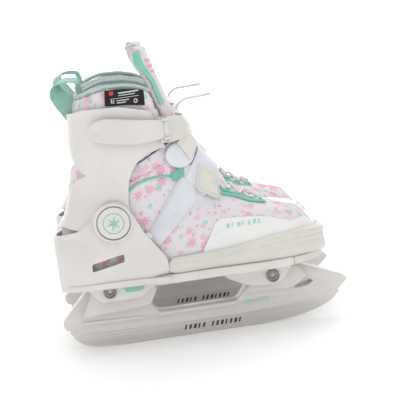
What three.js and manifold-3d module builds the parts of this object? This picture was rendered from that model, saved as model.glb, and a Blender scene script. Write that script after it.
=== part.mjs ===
// A pair of child's size-adjustable soft-boot ice skates with hockey-style blades.
// Millimetres, +Z up, toes towards +X. The right skate stands at -Y with its outer side towards -Y,
// and the left skate is its mirror image at +Y. The runners rest on Z = 0.
import * as THREE from "three";
import { ParametricGeometry } from "three/addons/geometries/ParametricGeometry.js";
import { mergeVertices } from "three/addons/utils/BufferGeometryUtils.js";
import Module from "manifold-3d";

const wasm = await Module();
wasm.setup();

// ---- driving dimensions ----
const SKATE_SPACING = 110; // between the two blades
const GAP = 0.4; // between neighbouring solids
const ALL = 300; // past the part on any side, for cutting
const RUNNER_THICKNESS = 3;
const RUNNER_DEPTH_IN_HOLDER = 5;
const RAIL_HALF_WIDTH = 9;
const REAR_TOWER_HALF_WIDTH = 18;
const FRONT_TOWER_HALF_WIDTH = 15;
const CHEEK_THICKNESS = 8;
const BOLT_RADIUS = 3.5;
const BOLT_HEAD_RADIUS = 6.3;
const BOLT_HEAD_THICKNESS = 2.6;
const REAR_BOLT = [-89.5, 58.7];
const FRONT_BOLT = [65.5, 51];
const SOLE_BOTTOM = 60;
const SOLE_FRONT = 92;
const SOLE_TOP = 67.5;
const LINER_BOTTOM = 72.4;
const LINER_THICKNESS = 5;
// Layers over the soft boot, each between two distances from its surface.
const BUMPER_INNER = 1.6;
const BUMPER_OUTER = 4.4;
const CUFF_INNER = 1.6;
const CUFF_OUTER = 4.4;
const CHASSIS_INNER = 5.2;
const CHASSIS_OUTER = 8;
const STRAP_BASE_LAYER = [1.6, 3.6];
const INSTEP_STRAP_LAYER = [1.2, 3.2];
const STRAP_LOOP_LAYER = [4.2, 8.2];
const STRAP_TAB_LAYER = [3.6, 6];
const LABEL_LAYER = [GAP, 1.4];
const EYESTAY_LAYER = [GAP, 2];
const BUCKLE_STRAP_OUTER = 7.4;
const LEVER_LAYER = [7.8, 12.5];
const ANKLE_PIVOT = [-77, 126];
const PIVOT_PIN_RADIUS = 4;
const PIVOT_CAP_RADIUS = 15;
const PIVOT_CAP_THICKNESS = 2.6;
const PIVOT_RING_RADIUS = 18.5;
const PIVOT_HALF_WIDTH = 33.7; // of the soft boot, at the pivot's height
const TOE_SPLIT = 28;
const RIVET = [-47, 107.5];
const CUFF_RIVET = [-36, 204];
const RIVET_RADIUS = 2;
const RIVET_HEAD_RADIUS = 4;
const LEVER_PIN = [-17, -42.4];
const LEVER_PIN_RADIUS = 1.6;
const LEVER_MIDDLE_HEIGHT = 206;
const LEVER_BARREL_HALF_HEIGHT = 6.5;
const BUCKLE_HALF_HEIGHT = 10;
const LACE_END_DIAMETER = 2.6;
const LACE_DIAMETER = 2.4;
const LACE_RISE = 3.8; // of its centreline over the boot
const LACE_ROWS = 3;
const LACE_FIRST_ROW = 82;
const LACE_ROW_PITCH = 15;
const LACE_REACH = 14; // to each side
const FOOT_SIDES = 12;
const SHAFT_SIDES = 16;
const BUTTON_FACE = REAR_TOWER_HALF_WIDTH + CHEEK_THICKNESS + 1.5;

// ---- materials ----
const material = (color, roughness, metalness = 0) =>
  new THREE.MeshStandardMaterial({ color, roughness, metalness });
const COLOURS = {
  shell: () => material(0xe2e0dc, 0.45),
  cream: () => material(0xe2e2d8, 0.6),
  steel: () => material(0xa5a39d, 0.3, 0.9),
  zinc: () => material(0x78787a, 0.4, 0.8),
  mintPlastic: () => material(0xa0d0be, 0.45),
  mintWebbing: () => material(0xaad0c6, 0.85),
  mintLace: () => material(0x7dc8af, 0.7),
  fabric: () => material(0xe1e0e4, 0.9),
  lining: () => material(0xbfd8d0, 0.95),
  smoothStrap: () => material(0xdedfe6, 0.6),
  laceWhite: () => material(0xd8d8d4, 0.85),
  labelBlack: () => material(0x1e1c1c, 0.6),
};

// ---- from geometry to solid and back ----
function solid(geometry) {
  const bare = geometry.clone();
  for (const name of ["normal", "uv"]) bare.deleteAttribute(name);
  const merged = mergeVertices(bare, 1e-3);
  const corners = Array.from(merged.index.array);
  const triVerts = [];
  for (let i = 0; i < corners.length; i += 3) {
    const [a, b, c] = corners.slice(i, i + 3);
    if (a !== b && b !== c && a !== c) triVerts.push(a, b, c);
  }
  const build = (tris) =>
    new wasm.Manifold(
      new wasm.Mesh({
        numProp: 3,
        vertProperties: new Float32Array(merged.attributes.position.array),
        triVerts: new Uint32Array(tris),
      }),
    );
  const made = build(triVerts);
  return made.volume() > 0 ? made : build(triVerts.reverse());
}

function geometryOf(made) {
  const mesh = made.getMesh();
  return new THREE.BufferGeometry()
    .setAttribute("position", new THREE.BufferAttribute(new Float32Array(mesh.vertProperties), 3))
    .setIndex(new THREE.BufferAttribute(new Uint32Array(mesh.triVerts), 1));
}

// The biggest body of a cut, without the slivers that a cut may leave.
function mainBody(made) {
  return made.decompose().sort((a, b) => b.volume() - a.volume())[0];
}

// ---- simple shapes ----
// An outline in the XZ plane, extruded along Y from yLow to yHigh.
function plate(outline, yLow, yHigh, holes = []) {
  const toPoints = (list) => list.map(([x, z]) => new THREE.Vector2(x, z));
  const shape = new THREE.Shape(toPoints(outline));
  for (const hole of holes) shape.holes.push(new THREE.Path(toPoints(hole)));
  const geometry = new THREE.ExtrudeGeometry(shape, { depth: yHigh - yLow, bevelEnabled: false });
  geometry.rotateX(Math.PI / 2).translate(0, yHigh, 0);
  return solid(geometry);
}

function box(xLow, xHigh, yLow, yHigh, zLow, zHigh) {
  const geometry = new THREE.BoxGeometry(xHigh - xLow, yHigh - yLow, zHigh - zLow);
  geometry.translate((xLow + xHigh) / 2, (yLow + yHigh) / 2, (zLow + zHigh) / 2);
  return solid(geometry);
}

// A cylinder along Y.
function pin([x, z], radius, yLow, yHigh, sides = 12) {
  const geometry = new THREE.CylinderGeometry(radius, radius, yHigh - yLow, sides);
  return solid(geometry.translate(x, (yLow + yHigh) / 2, z));
}

// A cylinder along Z.
function upright([x, y], radius, zLow, zHigh, sides = 10) {
  const geometry = new THREE.CylinderGeometry(radius, radius, zHigh - zLow, sides);
  return solid(geometry.rotateX(Math.PI / 2).translate(x, y, (zLow + zHigh) / 2));
}

// A body swept through stations. Each station is a function of the angle round it, and both ends are capped.
function loft(stations, sides) {
  const centre = (station) => {
    const sum = new THREE.Vector3();
    for (let k = 0; k < sides; k += 1) sum.add(station((2 * Math.PI * k) / sides));
    return sum.divideScalar(sides);
  };
  const rows = stations.length + 2;
  const place = (u, v, target) => {
    const row = Math.round(u * (rows - 1));
    const side = Math.round(v * sides) % sides;
    if (row === 0) target.copy(centre(stations[0]));
    else if (row === rows - 1) target.copy(centre(stations[stations.length - 1]));
    else target.copy(stations[row - 1]((2 * Math.PI * side) / sides));
  };
  return solid(new ParametricGeometry(place, rows - 1, sides));
}

const bulge = (value, power) => Math.sign(value) * Math.abs(value) ** (2 / power);

// ---- the soft boot's outer surface ----
// Foot: X, half width, height of the widest line, top, and how square the top half is.
const FOOT = [
  [-127, 8, 84, 104, 3],
  [-120, 19, 84, 110, 3],
  [-100, 27, 84, 116, 3],
  [-75, 29, 84, 120, 3],
  [-50, 33, 84, 128, 3],
  [-30, 39, 85, 138, 2.6],
  [14, 40.2, 88, 149, 2.1],
  [36, 42, 88, 138, 2.2],
  [56, 42.5, 88, 125, 2.3],
  [78, 39, 87, 119.5, 2.4],
  [95, 31, 85, 115, 2.5],
  [107, 21, 83, 101, 2.5],
  [114, 9, 81, 90, 2.5],
];
const FOOT_REAR = FOOT[0][0];
const FOOT_LENGTH = FOOT[FOOT.length - 1][0] - FOOT_REAR;

// Shaft: height, rear X, front X, half width.
const SHAFT = [
  [78, -122, -10, 27],
  [98, -128.5, 17, 30.5],
  [118, -127, 32, 33],
  [136, -117, 36, 34],
  [154, -111, 29.5, 34],
  [186, -106, 6.5, 35.3],
  [214, -103.6, -4.5, 36.8],
  [250, -98, -16, 39],
  [287, -92, -26, 39],
];

// Both grown outwards by `grow`. The underside stays flat.
const footCache = new Map();
function foot(grow) {
  if (footCache.has(grow)) return footCache.get(grow);
  const stations = FOOT.map(([x, halfWidth, widest, top, power]) => {
    const along = x + grow * (2 * ((x - FOOT_REAR) / FOOT_LENGTH) - 1);
    const bottom = LINER_BOTTOM - grow;
    return (angle) => {
      const across = Math.cos(angle);
      const up = Math.sin(angle);
      const shape = up >= 0 ? power : 4;
      const reach = up >= 0 ? top + grow - widest : widest - bottom;
      return new THREE.Vector3(
        along,
        (halfWidth + grow) * bulge(across, shape),
        widest + reach * bulge(up, shape),
      );
    };
  });
  footCache.set(grow, loft(stations, FOOT_SIDES));
  return footCache.get(grow);
}

const shaftCache = new Map();
function shaft(grow) {
  if (shaftCache.has(grow)) return shaftCache.get(grow);
  const stations = SHAFT.map(([z, rear, front, halfWidth]) => (angle) => {
    const middle = (rear + front) / 2;
    const reach = (front - rear) / 2 + grow;
    return new THREE.Vector3(
      middle + reach * bulge(Math.cos(angle), 2.2),
      (halfWidth + grow) * bulge(Math.sin(angle), 2.2),
      z,
    );
  });
  shaftCache.set(grow, loft(stations, SHAFT_SIDES));
  return shaftCache.get(grow);
}

const bootCache = new Map();
function boot(grow) {
  if (!bootCache.has(grow)) bootCache.set(grow, foot(grow).add(shaft(grow)));
  return bootCache.get(grow);
}

// A layer over the boot between two distances from its surface, kept inside `region`.
const layer = (body, inner, outer, region) =>
  mainBody(body(outer).subtract(body(inner)).intersect(region));

// ---- outlines in the XZ plane ----
const HOLDER_FOOT_LINE = [
  [-137.2, 21.5], [-94.4, 15.1], [-57, 14], [-28, 13.6], [35, 13.6], [70, 15.6], [102.4, 19], [129.8, 24],
];
const RUNNER_EDGE = [
  [129.8, 21.5], [125.5, 16.6], [119, 12], [108, 7.4], [94, 3.8], [77, 1.4], [52, 0],
  [-75, 0], [-92, 0.4], [-110, 1.6], [-121, 4.6], [-128.5, 10], [-133, 18],
];
const REAR_TOWER = [[-110, 52], [-106, 63], [-52, 63], [-44, 54.7], [-53, 38.2], [-120, 34]];
const FRONT_TOWER = [[42, 43], [52, 57.5], [78, 57.5], [90.5, 55.5], [100, 44], [84, 34], [36, 36]];
const FRONT_WINDOW = [[85.4, 32.2], [97, 41.9], [105.5, 36.9], [100, 33.4]];
const REAR_CHEEK = [[-112, 69], [-110.5, 64], [-100.2, 48.5], [-60.7, 48], [-44.6, 59.5], [-38, 69]];
const FRONT_CHEEK = [
  [14, 66], [20.7, 54.2], [42, 43.6], [60, 41.5], [72, 42.6], [79, 50], [85, 59], [92, 66],
];
const HEEL_CUP = [
  [-150, 60], [-150, 113], [-133, 116], [-112, 120], [-99, 128], [-90, 139], [-82, 145], [-71, 145],
  [-63, 140],
  [-58, 130], [-50, 112], [-38, 97], [-31.4, 84], [-31.4, 60],
];
const HEEL_SLOT = [[-102.4, 81], [-71.7, 87.3], [-71.6, 94.9], [-102.3, 88.6]];
const CUFF_SIDE = [
  [-150, 122.5], [-118, 124], [-96, 117], [-89, 110], [-77, 107], [-65, 110], [-60, 118], [-60, 144.5],
  [-56.6, 163],
  [-51, 176], [-40, 184.5], [-28, 188], [-13.5, 189.5], [-13, 214], [-33.5, 224.3], [-58.5, 231.8],
  [-88.4, 231.9],
  [-106, 227], [-150, 221],
];
const REAR_SLIT = [[-125, 215], [-108.5, 204], [-96.5, 171], [-96.5, 168], [-112, 155], [-125, 150]];
const COLLAR_TOP = [
  [-112, 238], [-98, 243], [-84, 248], [-71, 251], [-50, 249.6], [-34, 246], [-22, 240], [-10, 232],
  [10, 226],
];
const COLLAR_UNDER = [[-150, 142], [-112, 143.5], [-12, 190.5], [10, 198], [40, 205]];
const QUARTER_TOP = [[-150, 137], [-112, 140], [0, 181], [60, 181]];
const TONGUE_SIDE = [[-46, 177.5], [-12, 192.5], [10, 199.5], [30, 204], [30, 262], [-20, 284], [-46, 278]];
const BUMPER_SIDE = [
  [-31, 60], [-31, 74], [-28, 83], [22, 86], [66, 92.6], [100, 93.5], [130, 91], [130, 60],
];
const STRAP_BASE = [
  [-52, 106], [-42, 103.5], [-36, 99.5], [1.7, 133], [2.7, 147], [10.5, 166], [1, 173], [-10, 160],
  [-30, 131],
];
const STRAP_LOOP = [[12, 166.5], [3.6, 146], [23.5, 134.7], [27, 155]];
const STRAP_TAB = [[-5, 190.5], [8, 190], [13, 187], [3, 171.5], [-12, 188]];
const INSTEP_STRAP = [
  [-34, 104], [-8, 100], [10, 133], [20, 160], [10, 181], [-8, 180.5], [-12, 160], [-22, 130],
];

// ---- blade ----
function runner() {
  const embedded = HOLDER_FOOT_LINE.slice(0, -1).map(([x, z]) => [x, z + RUNNER_DEPTH_IN_HOLDER]);
  embedded[0] = [-132.6, 20.9 + RUNNER_DEPTH_IN_HOLDER];
  embedded.push([127, 23.4 + RUNNER_DEPTH_IN_HOLDER]);
  return plate([...embedded, ...RUNNER_EDGE], -RUNNER_THICKNESS / 2, RUNNER_THICKNESS / 2);
}

function bladeHolder() {
  const outline = [
    ...HOLDER_FOOT_LINE,
    [138.8, 34.4], [132.9, 39.5], [110.4, 48.2], [90.5, 55.5], [78, 57.5], [52, 57.5], [42, 43],
    [29.5, 28.2],
    [-46.9, 28.2], [-53, 38.2], [-44, 54.7], [-52, 63], [-106.2, 63], [-107, 59.5], [-114, 56],
    [-138.8, 30.6],
  ];
  const slotHalf = RUNNER_THICKNESS / 2 + GAP;
  const slotTop = HOLDER_FOOT_LINE.map(([x, z]) => [x, z + RUNNER_DEPTH_IN_HOLDER + GAP]);
  const slot = plate([[-134, 5], [-134, 27], ...slotTop.slice(1, -1), [131, 29.6],
    [131, 5]], -slotHalf, slotHalf);
  return plate(outline, -RAIL_HALF_WIDTH, RAIL_HALF_WIDTH, [FRONT_WINDOW])
    .add(plate(REAR_TOWER, -REAR_TOWER_HALF_WIDTH, REAR_TOWER_HALF_WIDTH))
    .add(plate(FRONT_TOWER, -FRONT_TOWER_HALF_WIDTH, FRONT_TOWER_HALF_WIDTH))
    .subtract(plate(FRONT_WINDOW, -ALL, ALL))
    .subtract(slot)
    .subtract(pin(REAR_BOLT, BOLT_RADIUS + GAP, -ALL, ALL))
    .subtract(pin(FRONT_BOLT, BOLT_RADIUS + GAP, -ALL, ALL));
}

// A through-bolt with a head on each side.
function bolt(place, cheekFace) {
  const seat = cheekFace + GAP;
  const tip = seat + BOLT_HEAD_THICKNESS;
  return pin(place, BOLT_RADIUS, -tip, tip, 12)
    .add(pin(place, BOLT_HEAD_RADIUS, seat, tip, 16))
    .add(pin(place, BOLT_HEAD_RADIUS, -tip, -seat, 16));
}

// ---- chassis: heel cup, sole plate and the cheeks that hold the blade holder's towers ----
const buttonOutline = (grow) => [
  [-77.5 - grow, 66.9 + grow], [-53.2 + grow, 66.9 + grow], [-58.5 + grow, 56 - grow],
  [-74.5 - grow, 56 - grow],
];

function chassis() {
  const rearFace = REAR_TOWER_HALF_WIDTH + CHEEK_THICKNESS;
  const frontFace = FRONT_TOWER_HALF_WIDTH + CHEEK_THICKNESS;
  const cup = layer(boot, CHASSIS_INNER, CHASSIS_OUTER, plate(HEEL_CUP, -ALL, ALL));
  const soleBlank = boot(CHASSIS_OUTER).intersect(box(-140, -31.4, -ALL, ALL, SOLE_BOTTOM + 4, SOLE_TOP + 3));
  const soleFront = foot(BUMPER_OUTER - 6).intersect(box(-34, SOLE_FRONT, -ALL, ALL, 0, ALL));
  const soleFlat = flattened(soleFront, SOLE_BOTTOM + 2, SOLE_TOP);
  const channel = (outline, halfWidth) => plate(outline, -halfWidth - GAP, halfWidth + GAP);
  const rearChannel = [[-119, 40], [-106.6, 63.6], [-51.6, 63.6], [-43, 54.7], [-43, 40]];
  const frontChannel = [[36, 36], [51, 58.2], [79, 58.2], [94, 56], [94, 36]];
  const ring = solid(
    new THREE.LatheGeometry(
      [
        [PIVOT_CAP_RADIUS + 1, 0], [PIVOT_RING_RADIUS, 0], [PIVOT_RING_RADIUS - 1.1, PIVOT_CAP_THICKNESS],
        [PIVOT_CAP_RADIUS + 1, PIVOT_CAP_THICKNESS], [PIVOT_CAP_RADIUS + 1, 0],
      ].map(([radius, height]) => new THREE.Vector2(radius, height)),
      16,
    ),
  );
  const ringSeat = PIVOT_HALF_WIDTH + CHASSIS_OUTER - 1;
  const rings = [1, -1].map((side) =>
    ring.rotate([side < 0 ? 180 : 0, 0, 0]).translate([ANKLE_PIVOT[0], side * ringSeat, ANKLE_PIVOT[1]]),
  );
  let made = cup.add(soleBlank).add(soleFlat)
    .add(plate(REAR_CHEEK, -rearFace, rearFace))
    .add(plate(FRONT_CHEEK, -frontFace, frontFace));
  for (const part of rings) made = made.add(part);
  made = made
    .subtract(channel(rearChannel, REAR_TOWER_HALF_WIDTH))
    .subtract(channel(frontChannel, FRONT_TOWER_HALF_WIDTH))
    .subtract(boot(CHASSIS_INNER - 3).intersect(box(-140, -31, -ALL, ALL, SOLE_TOP + 3, ALL)))
    .subtract(plate(HEEL_SLOT, -ALL, ALL))
    .subtract(plate(buttonOutline(GAP), -BUTTON_FACE - 5, -BUTTON_FACE + 7))
    .subtract(pin(REAR_BOLT, BOLT_RADIUS + GAP, -ALL, ALL))
    .subtract(pin(FRONT_BOLT, BOLT_RADIUS + GAP, -ALL, ALL))
    .subtract(pin(ANKLE_PIVOT, PIVOT_PIN_RADIUS + GAP, -ALL, ALL))
    .subtract(pin(RIVET, RIVET_RADIUS + GAP, -ALL, 0));
  return mainBody(made);
}

// The plan outline of a body at the foot's widest line, as a flat slab between two heights.
function flattened(body, zLow, zHigh) {
  const slice = body.intersect(box(-ALL, ALL, -ALL, ALL, 86, 87));
  return slice.translate([0, 0, -86]).scale([1, 1, zHigh - zLow]).translate([0, 0, zLow]);
}

function sizeButton() {
  return plate(buttonOutline(0), -BUTTON_FACE, -BUTTON_FACE + 2.6);
}

// The ankle pivot's cap and its pin, through the chassis ear and the cuff ear.
function anklePivot(side) {
  const earFace = PIVOT_HALF_WIDTH + CHASSIS_OUTER + GAP;
  const capFace = earFace + PIVOT_CAP_THICKNESS;
  const inner = PIVOT_HALF_WIDTH + CUFF_INNER - 0.6;
  const along = (from, to) => (side < 0 ? [-to, -from] : [from, to]);
  return pin(ANKLE_PIVOT, PIVOT_PIN_RADIUS, ...along(inner, capFace))
    .add(pin(ANKLE_PIVOT, PIVOT_CAP_RADIUS, ...along(earFace, capFace), 16));
}

function strapRivet() {
  return pin(RIVET, RIVET_RADIUS, -46, -36).add(pin(RIVET, RIVET_HEAD_RADIUS, -46.4, -44.4, 12));
}

// ---- soft boot ----
const behindToeSplit = () => box(-ALL, TOE_SPLIT - GAP, -ALL, ALL, 0, ALL);
const aheadOfToeSplit = () => box(TOE_SPLIT, ALL, -ALL, ALL, 0, ALL);

function quarter() {
  const below = plate([[-150, 50], ...QUARTER_TOP, [60, 50]], -ALL, ALL);
  return mainBody(boot(0).subtract(boot(-LINER_THICKNESS)).intersect(below).intersect(behindToeSplit()));
}

function toeUpper() {
  return mainBody(boot(0).subtract(boot(-LINER_THICKNESS + 1)).intersect(aheadOfToeSplit()));
}

function insole() {
  const floor = LINER_BOTTOM + LINER_THICKNESS + GAP;
  return foot(-LINER_THICKNESS - 1.5).intersect(box(-140, 104, -ALL, ALL, floor, floor + 3));
}

// The tongue fills the open front of the collar.
const throat = (grow = 0) => box(-44 - grow, 60, -25 - grow, 25 + grow, 100, ALL);

function collar() {
  const region = plate([...COLLAR_UNDER, ...[...COLLAR_TOP].reverse()], -ALL, ALL);
  return mainBody(shaft(0).subtract(shaft(-LINER_THICKNESS - 1)).intersect(region).subtract(throat(GAP)));
}

function tongue() {
  const region = plate(TONGUE_SIDE, -ALL, ALL);
  return mainBody(shaft(0.2).subtract(shaft(-LINER_THICKNESS - 2)).intersect(region).intersect(throat()));
}

function label() {
  return layer(shaft, ...LABEL_LAYER, plate([[-68.5, 232.8], [-33, 232.8], [-33, 248.2],
    [-68.5, 248.2]], -ALL, 0));
}

// A webbing loop that stands up from the back of the collar, open from side to side.
function pullLoop() {
  const outer = [
    [-104, 224], [-111, 236], [-116, 250], [-112, 258], [-101, 259], [-90, 257], [-89.4, 251.4],
  ];
  const inner = [
    [-92.4, 249.4], [-94, 254], [-103, 255.5], [-110, 254.5], [-112.5, 249], [-107.5, 237], [-101.6, 226],
  ];
  const ribbon = plate([...outer, ...inner], -10, 10);
  const tab = plate([[-106, 224], [-101, 224], [-100, 236], [-98, 240], [-89.4, 251.4], [-92.4, 251.4],
    [-103, 240]],
    -10, 10);
  return mainBody(ribbon.add(tab).subtract(shaft(GAP)).subtract(cuffBlank(GAP)));
}

// ---- instep strap ----
function strapBase() {
  return layer(boot, ...STRAP_BASE_LAYER, plate(STRAP_BASE, -ALL, 0))
    .subtract(pin(RIVET, RIVET_RADIUS + GAP, -ALL, 0));
}

function instepStrap() {
  const over = plate(INSTEP_STRAP, -ALL, ALL).subtract(plate(STRAP_BASE, -ALL, 0));
  return layer(boot, ...INSTEP_STRAP_LAYER, over.intersect(box(-ALL, ALL, -28, ALL, 100, ALL)));
}

function strapLoop() {
  return layer(boot, ...STRAP_LOOP_LAYER, plate(STRAP_LOOP, -ALL, -6));
}

function strapTab() {
  return layer(boot, ...STRAP_TAB_LAYER, plate(STRAP_TAB, -ALL, -2));
}

// ---- cuff ----
const cuffCache = new Map();
function cuffBlank(grow = 0) {
  if (!cuffCache.has(grow)) {
    const band = shaft(CUFF_OUTER + grow).subtract(shaft(CUFF_INNER - grow));
    cuffCache.set(grow, band.intersect(plate(CUFF_SIDE, -ALL, ALL)).subtract(box(-30, 60, -20, 20, 0, ALL)));
  }
  return cuffCache.get(grow);
}

function cuff() {
  const slit = plate(REAR_SLIT, -34, 34);
  return mainBody(
    cuffBlank().subtract(slit).subtract(box(-26, 60, -34, 34, 0, ALL))
      .subtract(pin(ANKLE_PIVOT, PIVOT_PIN_RADIUS + GAP, -ALL, ALL)),
  );
}

// The strap runs from the inner side of the cuff, across the shin and on to the buckle.
function buckleStrap() {
  const band = plate([[-44, 196], [20, 194], [20, 213], [-44, 214]], -ALL, ALL);
  const reach = box(-18, 60, -ALL, ALL, 0, ALL).add(box(-44, 60, 0, ALL, 0, ALL));
  return layer(shaft, CUFF_OUTER + GAP, BUCKLE_STRAP_OUTER, band.intersect(reach))
    .subtract(pin(CUFF_RIVET, RIVET_RADIUS + GAP, 30, 60));
}

function buckleBase() {
  const [x, y] = LEVER_PIN;
  const low = LEVER_MIDDLE_HEIGHT - BUCKLE_HALF_HEIGHT;
  const high = LEVER_MIDDLE_HEIGHT + BUCKLE_HALF_HEIGHT;
  return box(x - 2, x + 7, y + 3.2, y + 6, low + 1, high - 1)
    .add(box(x - 4, x + 7, y - 3, y + 6, high - 3, high))
    .add(box(x - 4, x + 7, y - 3, y + 6, low, low + 3))
    .subtract(shaft(LEVER_LAYER[0]))
    .subtract(upright(LEVER_PIN, LEVER_PIN_RADIUS + GAP, low - 5, high + 5));
}

function leverPin() {
  const half = BUCKLE_HALF_HEIGHT + 0.6;
  return upright(LEVER_PIN, LEVER_PIN_RADIUS, LEVER_MIDDLE_HEIGHT - half, LEVER_MIDDLE_HEIGHT + half);
}

// A curved handle with its free nose towards the heel.
function buckleLever() {
  const [x, y] = LEVER_PIN;
  const [inner, outer] = LEVER_LAYER;
  const low = LEVER_MIDDLE_HEIGHT - LEVER_BARREL_HALF_HEIGHT;
  const high = LEVER_MIDDLE_HEIGHT + LEVER_BARREL_HALF_HEIGHT;
  const face = [[-88, 212.5], [-80, 219], [-72, 222.5], [-50, 218.5], [x - 6, 214], [x - 6, high],
    [x - 3, high],
    [x - 3, low], [x - 6, low], [x - 6, 197], [-48, 196.5], [-66, 199], [-80, 205]];
  const arm = plate(face, -ALL, 0).intersect(shaft(outer)).subtract(shaft(inner));
  const barrel = upright(LEVER_PIN, LEVER_PIN_RADIUS + 1.3, low, high);
  const bridge = box(x - 10, x, y - 2.4, y + 2, low, high).subtract(shaft(inner));
  const bore = upright(LEVER_PIN, LEVER_PIN_RADIUS + GAP, 190, 230);
  return mainBody(arm.add(bridge).add(barrel).subtract(bore));
}

function buckleStrapRivet() {
  return pin(CUFF_RIVET, RIVET_RADIUS, 39.6, 44.8).add(pin(CUFF_RIVET, RIVET_HEAD_RADIUS, 43.2, 44.8));
}

// ---- laces ----
// A round cord along hand-picked points.
function cord(points, diameter, steps) {
  const path = new THREE.CatmullRomCurve3(points.map((p) => new THREE.Vector3(...p)));
  const section = new THREE.Shape().absarc(0, 0, diameter / 2, 0, 2 * Math.PI, false);
  return solid(
    new THREE.ExtrudeGeometry(section, { steps, curveSegments: 4, bevelEnabled: false, extrudePath: path }),
  );
}

const LACE_END = [
  [-4.2, -9, 219], [-1, -10, 224], [5, -9, 227.5], [13, -7.5, 228], [22, -6, 228.4], [30, -5, 229],
];

function laceEnd() {
  return cord(LACE_END, LACE_END_DIAMETER, 10);
}

function eyestay() {
  const strip = (side) => [
    new THREE.Vector3(TOE_SPLIT, side * 16, 0), new THREE.Vector3(88, side * 10, 0),
  ];
  const bars = [-1, 1].map((side) => {
    const [rear, front] = strip(side);
    const length = rear.distanceTo(front);
    const bar = new THREE.BoxGeometry(length, 6, 200).rotateZ(Math.atan2(front.y - rear.y, front.x - rear.x));
    const middle = rear.clone().add(front).multiplyScalar(0.5);
    return solid(bar.translate(middle.x, middle.y, 180));
  });
  const bridge = box(84, 91, -12, 12, 80, 280);
  const region = bars[0].add(bars[1]).add(bridge).intersect(box(TOE_SPLIT + 1, 95, -ALL, ALL, 90, ALL));
  return layer(boot, ...EYESTAY_LAYER, region);
}

// The lace goes from side to side over the eyestay, from the toe end to the ankle end.
function lace() {
  const points = [];
  for (let row = 0; row <= LACE_ROWS; row += 1) {
    const along = LACE_FIRST_ROW - row * LACE_ROW_PITCH;
    const side = row % 2 ? 1 : -1;
    for (const across of [-LACE_REACH, 0, LACE_REACH]) {
      const y = side * across;
      const x = along - (across + LACE_REACH) * 0.24;
      points.push([x, y, ceiling(x, y) + LACE_RISE]);
    }
  }
  return cord(points, LACE_DIAMETER, 24);
}

// Height of the boot's top surface over a point.
function ceiling(x, y) {
  const probe = boot(0).intersect(box(x - 1.6, x + 1.6, y - 1.6, y + 1.6, 95, ALL));
  return probe.boundingBox().max[2];
}

// ---- toe ----
function toeBumper() {
  const walls = layer(foot, BUMPER_INNER, BUMPER_OUTER, plate(BUMPER_SIDE, -ALL, ALL));
  const front = foot(-3).intersect(box(SOLE_FRONT + GAP, 108, -ALL, ALL, 0, ALL));
  return mainBody(walls.add(flattened(front, SOLE_BOTTOM + 2, SOLE_TOP + 2)));
}

// ---- one skate ----
function skate(side) {
  const group = new THREE.Group();
  const put = (name, body, look) => {
    const mesh = new THREE.Mesh(geometryOf(body), look());
    mesh.name = side + "_" + name;
    group.add(mesh);
  };
  put("runner", runner(), COLOURS.steel);
  put("blade_holder", bladeHolder(), COLOURS.shell);
  put("rear_bolt", bolt(REAR_BOLT, REAR_TOWER_HALF_WIDTH + CHEEK_THICKNESS), COLOURS.zinc);
  put("front_bolt", bolt(FRONT_BOLT, FRONT_TOWER_HALF_WIDTH + CHEEK_THICKNESS), COLOURS.zinc);
  put("chassis", chassis(), COLOURS.shell);
  put("pivot_outer", anklePivot(-1), COLOURS.shell);
  put("pivot_inner", anklePivot(1), COLOURS.shell);
  put("size_button", sizeButton(), COLOURS.mintPlastic);
  put("quarter", quarter(), COLOURS.fabric);
  put("insole", insole(), COLOURS.lining);
  put("strap_base", strapBase(), COLOURS.smoothStrap);
  put("instep_strap", instepStrap(), COLOURS.cream);
  put("strap_loop", strapLoop(), COLOURS.cream);
  put("strap_tab", strapTab(), COLOURS.cream);
  put("strap_rivet", strapRivet(), COLOURS.shell);
  put("cuff", cuff(), COLOURS.shell);
  put("collar", collar(), COLOURS.fabric);
  put("tongue", tongue(), COLOURS.fabric);
  put("label", label(), COLOURS.labelBlack);
  put("pull_loop", pullLoop(), COLOURS.mintWebbing);
  put("buckle_strap", buckleStrap(), COLOURS.shell);
  put("buckle_strap_rivet", buckleStrapRivet(), COLOURS.shell);
  put("buckle_base", buckleBase(), COLOURS.shell);
  put("lever_pin", leverPin(), COLOURS.zinc);
  put("buckle_lever", buckleLever(), COLOURS.shell);
  put("lace_end", laceEnd(), COLOURS.laceWhite);
  put("eyestay", eyestay(), COLOURS.mintLace);
  put("lace", lace(), COLOURS.laceWhite);
  put("toe_bumper", toeBumper(), COLOURS.cream);
  put("toe_upper", toeUpper(), COLOURS.fabric);
  return group;
}

const right = skate("right");
right.position.y = -SKATE_SPACING / 2;
const left = skate("left");
left.scale.y = -1;
left.position.y = SKATE_SPACING / 2;

const pair = new THREE.Group();
pair.add(right, left);
export default pair;
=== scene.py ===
import math

import bmesh
import bpy
from mathutils import Matrix, Vector
from mathutils.bvhtree import BVHTree


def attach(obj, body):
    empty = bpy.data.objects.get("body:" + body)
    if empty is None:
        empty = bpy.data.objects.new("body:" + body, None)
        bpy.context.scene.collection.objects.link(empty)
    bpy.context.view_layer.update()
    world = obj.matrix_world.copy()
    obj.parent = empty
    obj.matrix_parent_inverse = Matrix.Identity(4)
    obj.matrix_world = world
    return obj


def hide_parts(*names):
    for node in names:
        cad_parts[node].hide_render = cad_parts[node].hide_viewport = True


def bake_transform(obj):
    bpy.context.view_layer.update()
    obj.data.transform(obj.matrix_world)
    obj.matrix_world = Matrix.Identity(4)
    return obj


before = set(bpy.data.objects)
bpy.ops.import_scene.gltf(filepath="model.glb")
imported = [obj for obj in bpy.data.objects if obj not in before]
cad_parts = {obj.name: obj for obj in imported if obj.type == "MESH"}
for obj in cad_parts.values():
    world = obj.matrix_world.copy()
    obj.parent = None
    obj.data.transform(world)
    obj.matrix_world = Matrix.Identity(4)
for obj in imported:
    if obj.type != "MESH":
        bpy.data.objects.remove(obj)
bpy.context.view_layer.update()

mm = 0.001
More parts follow.
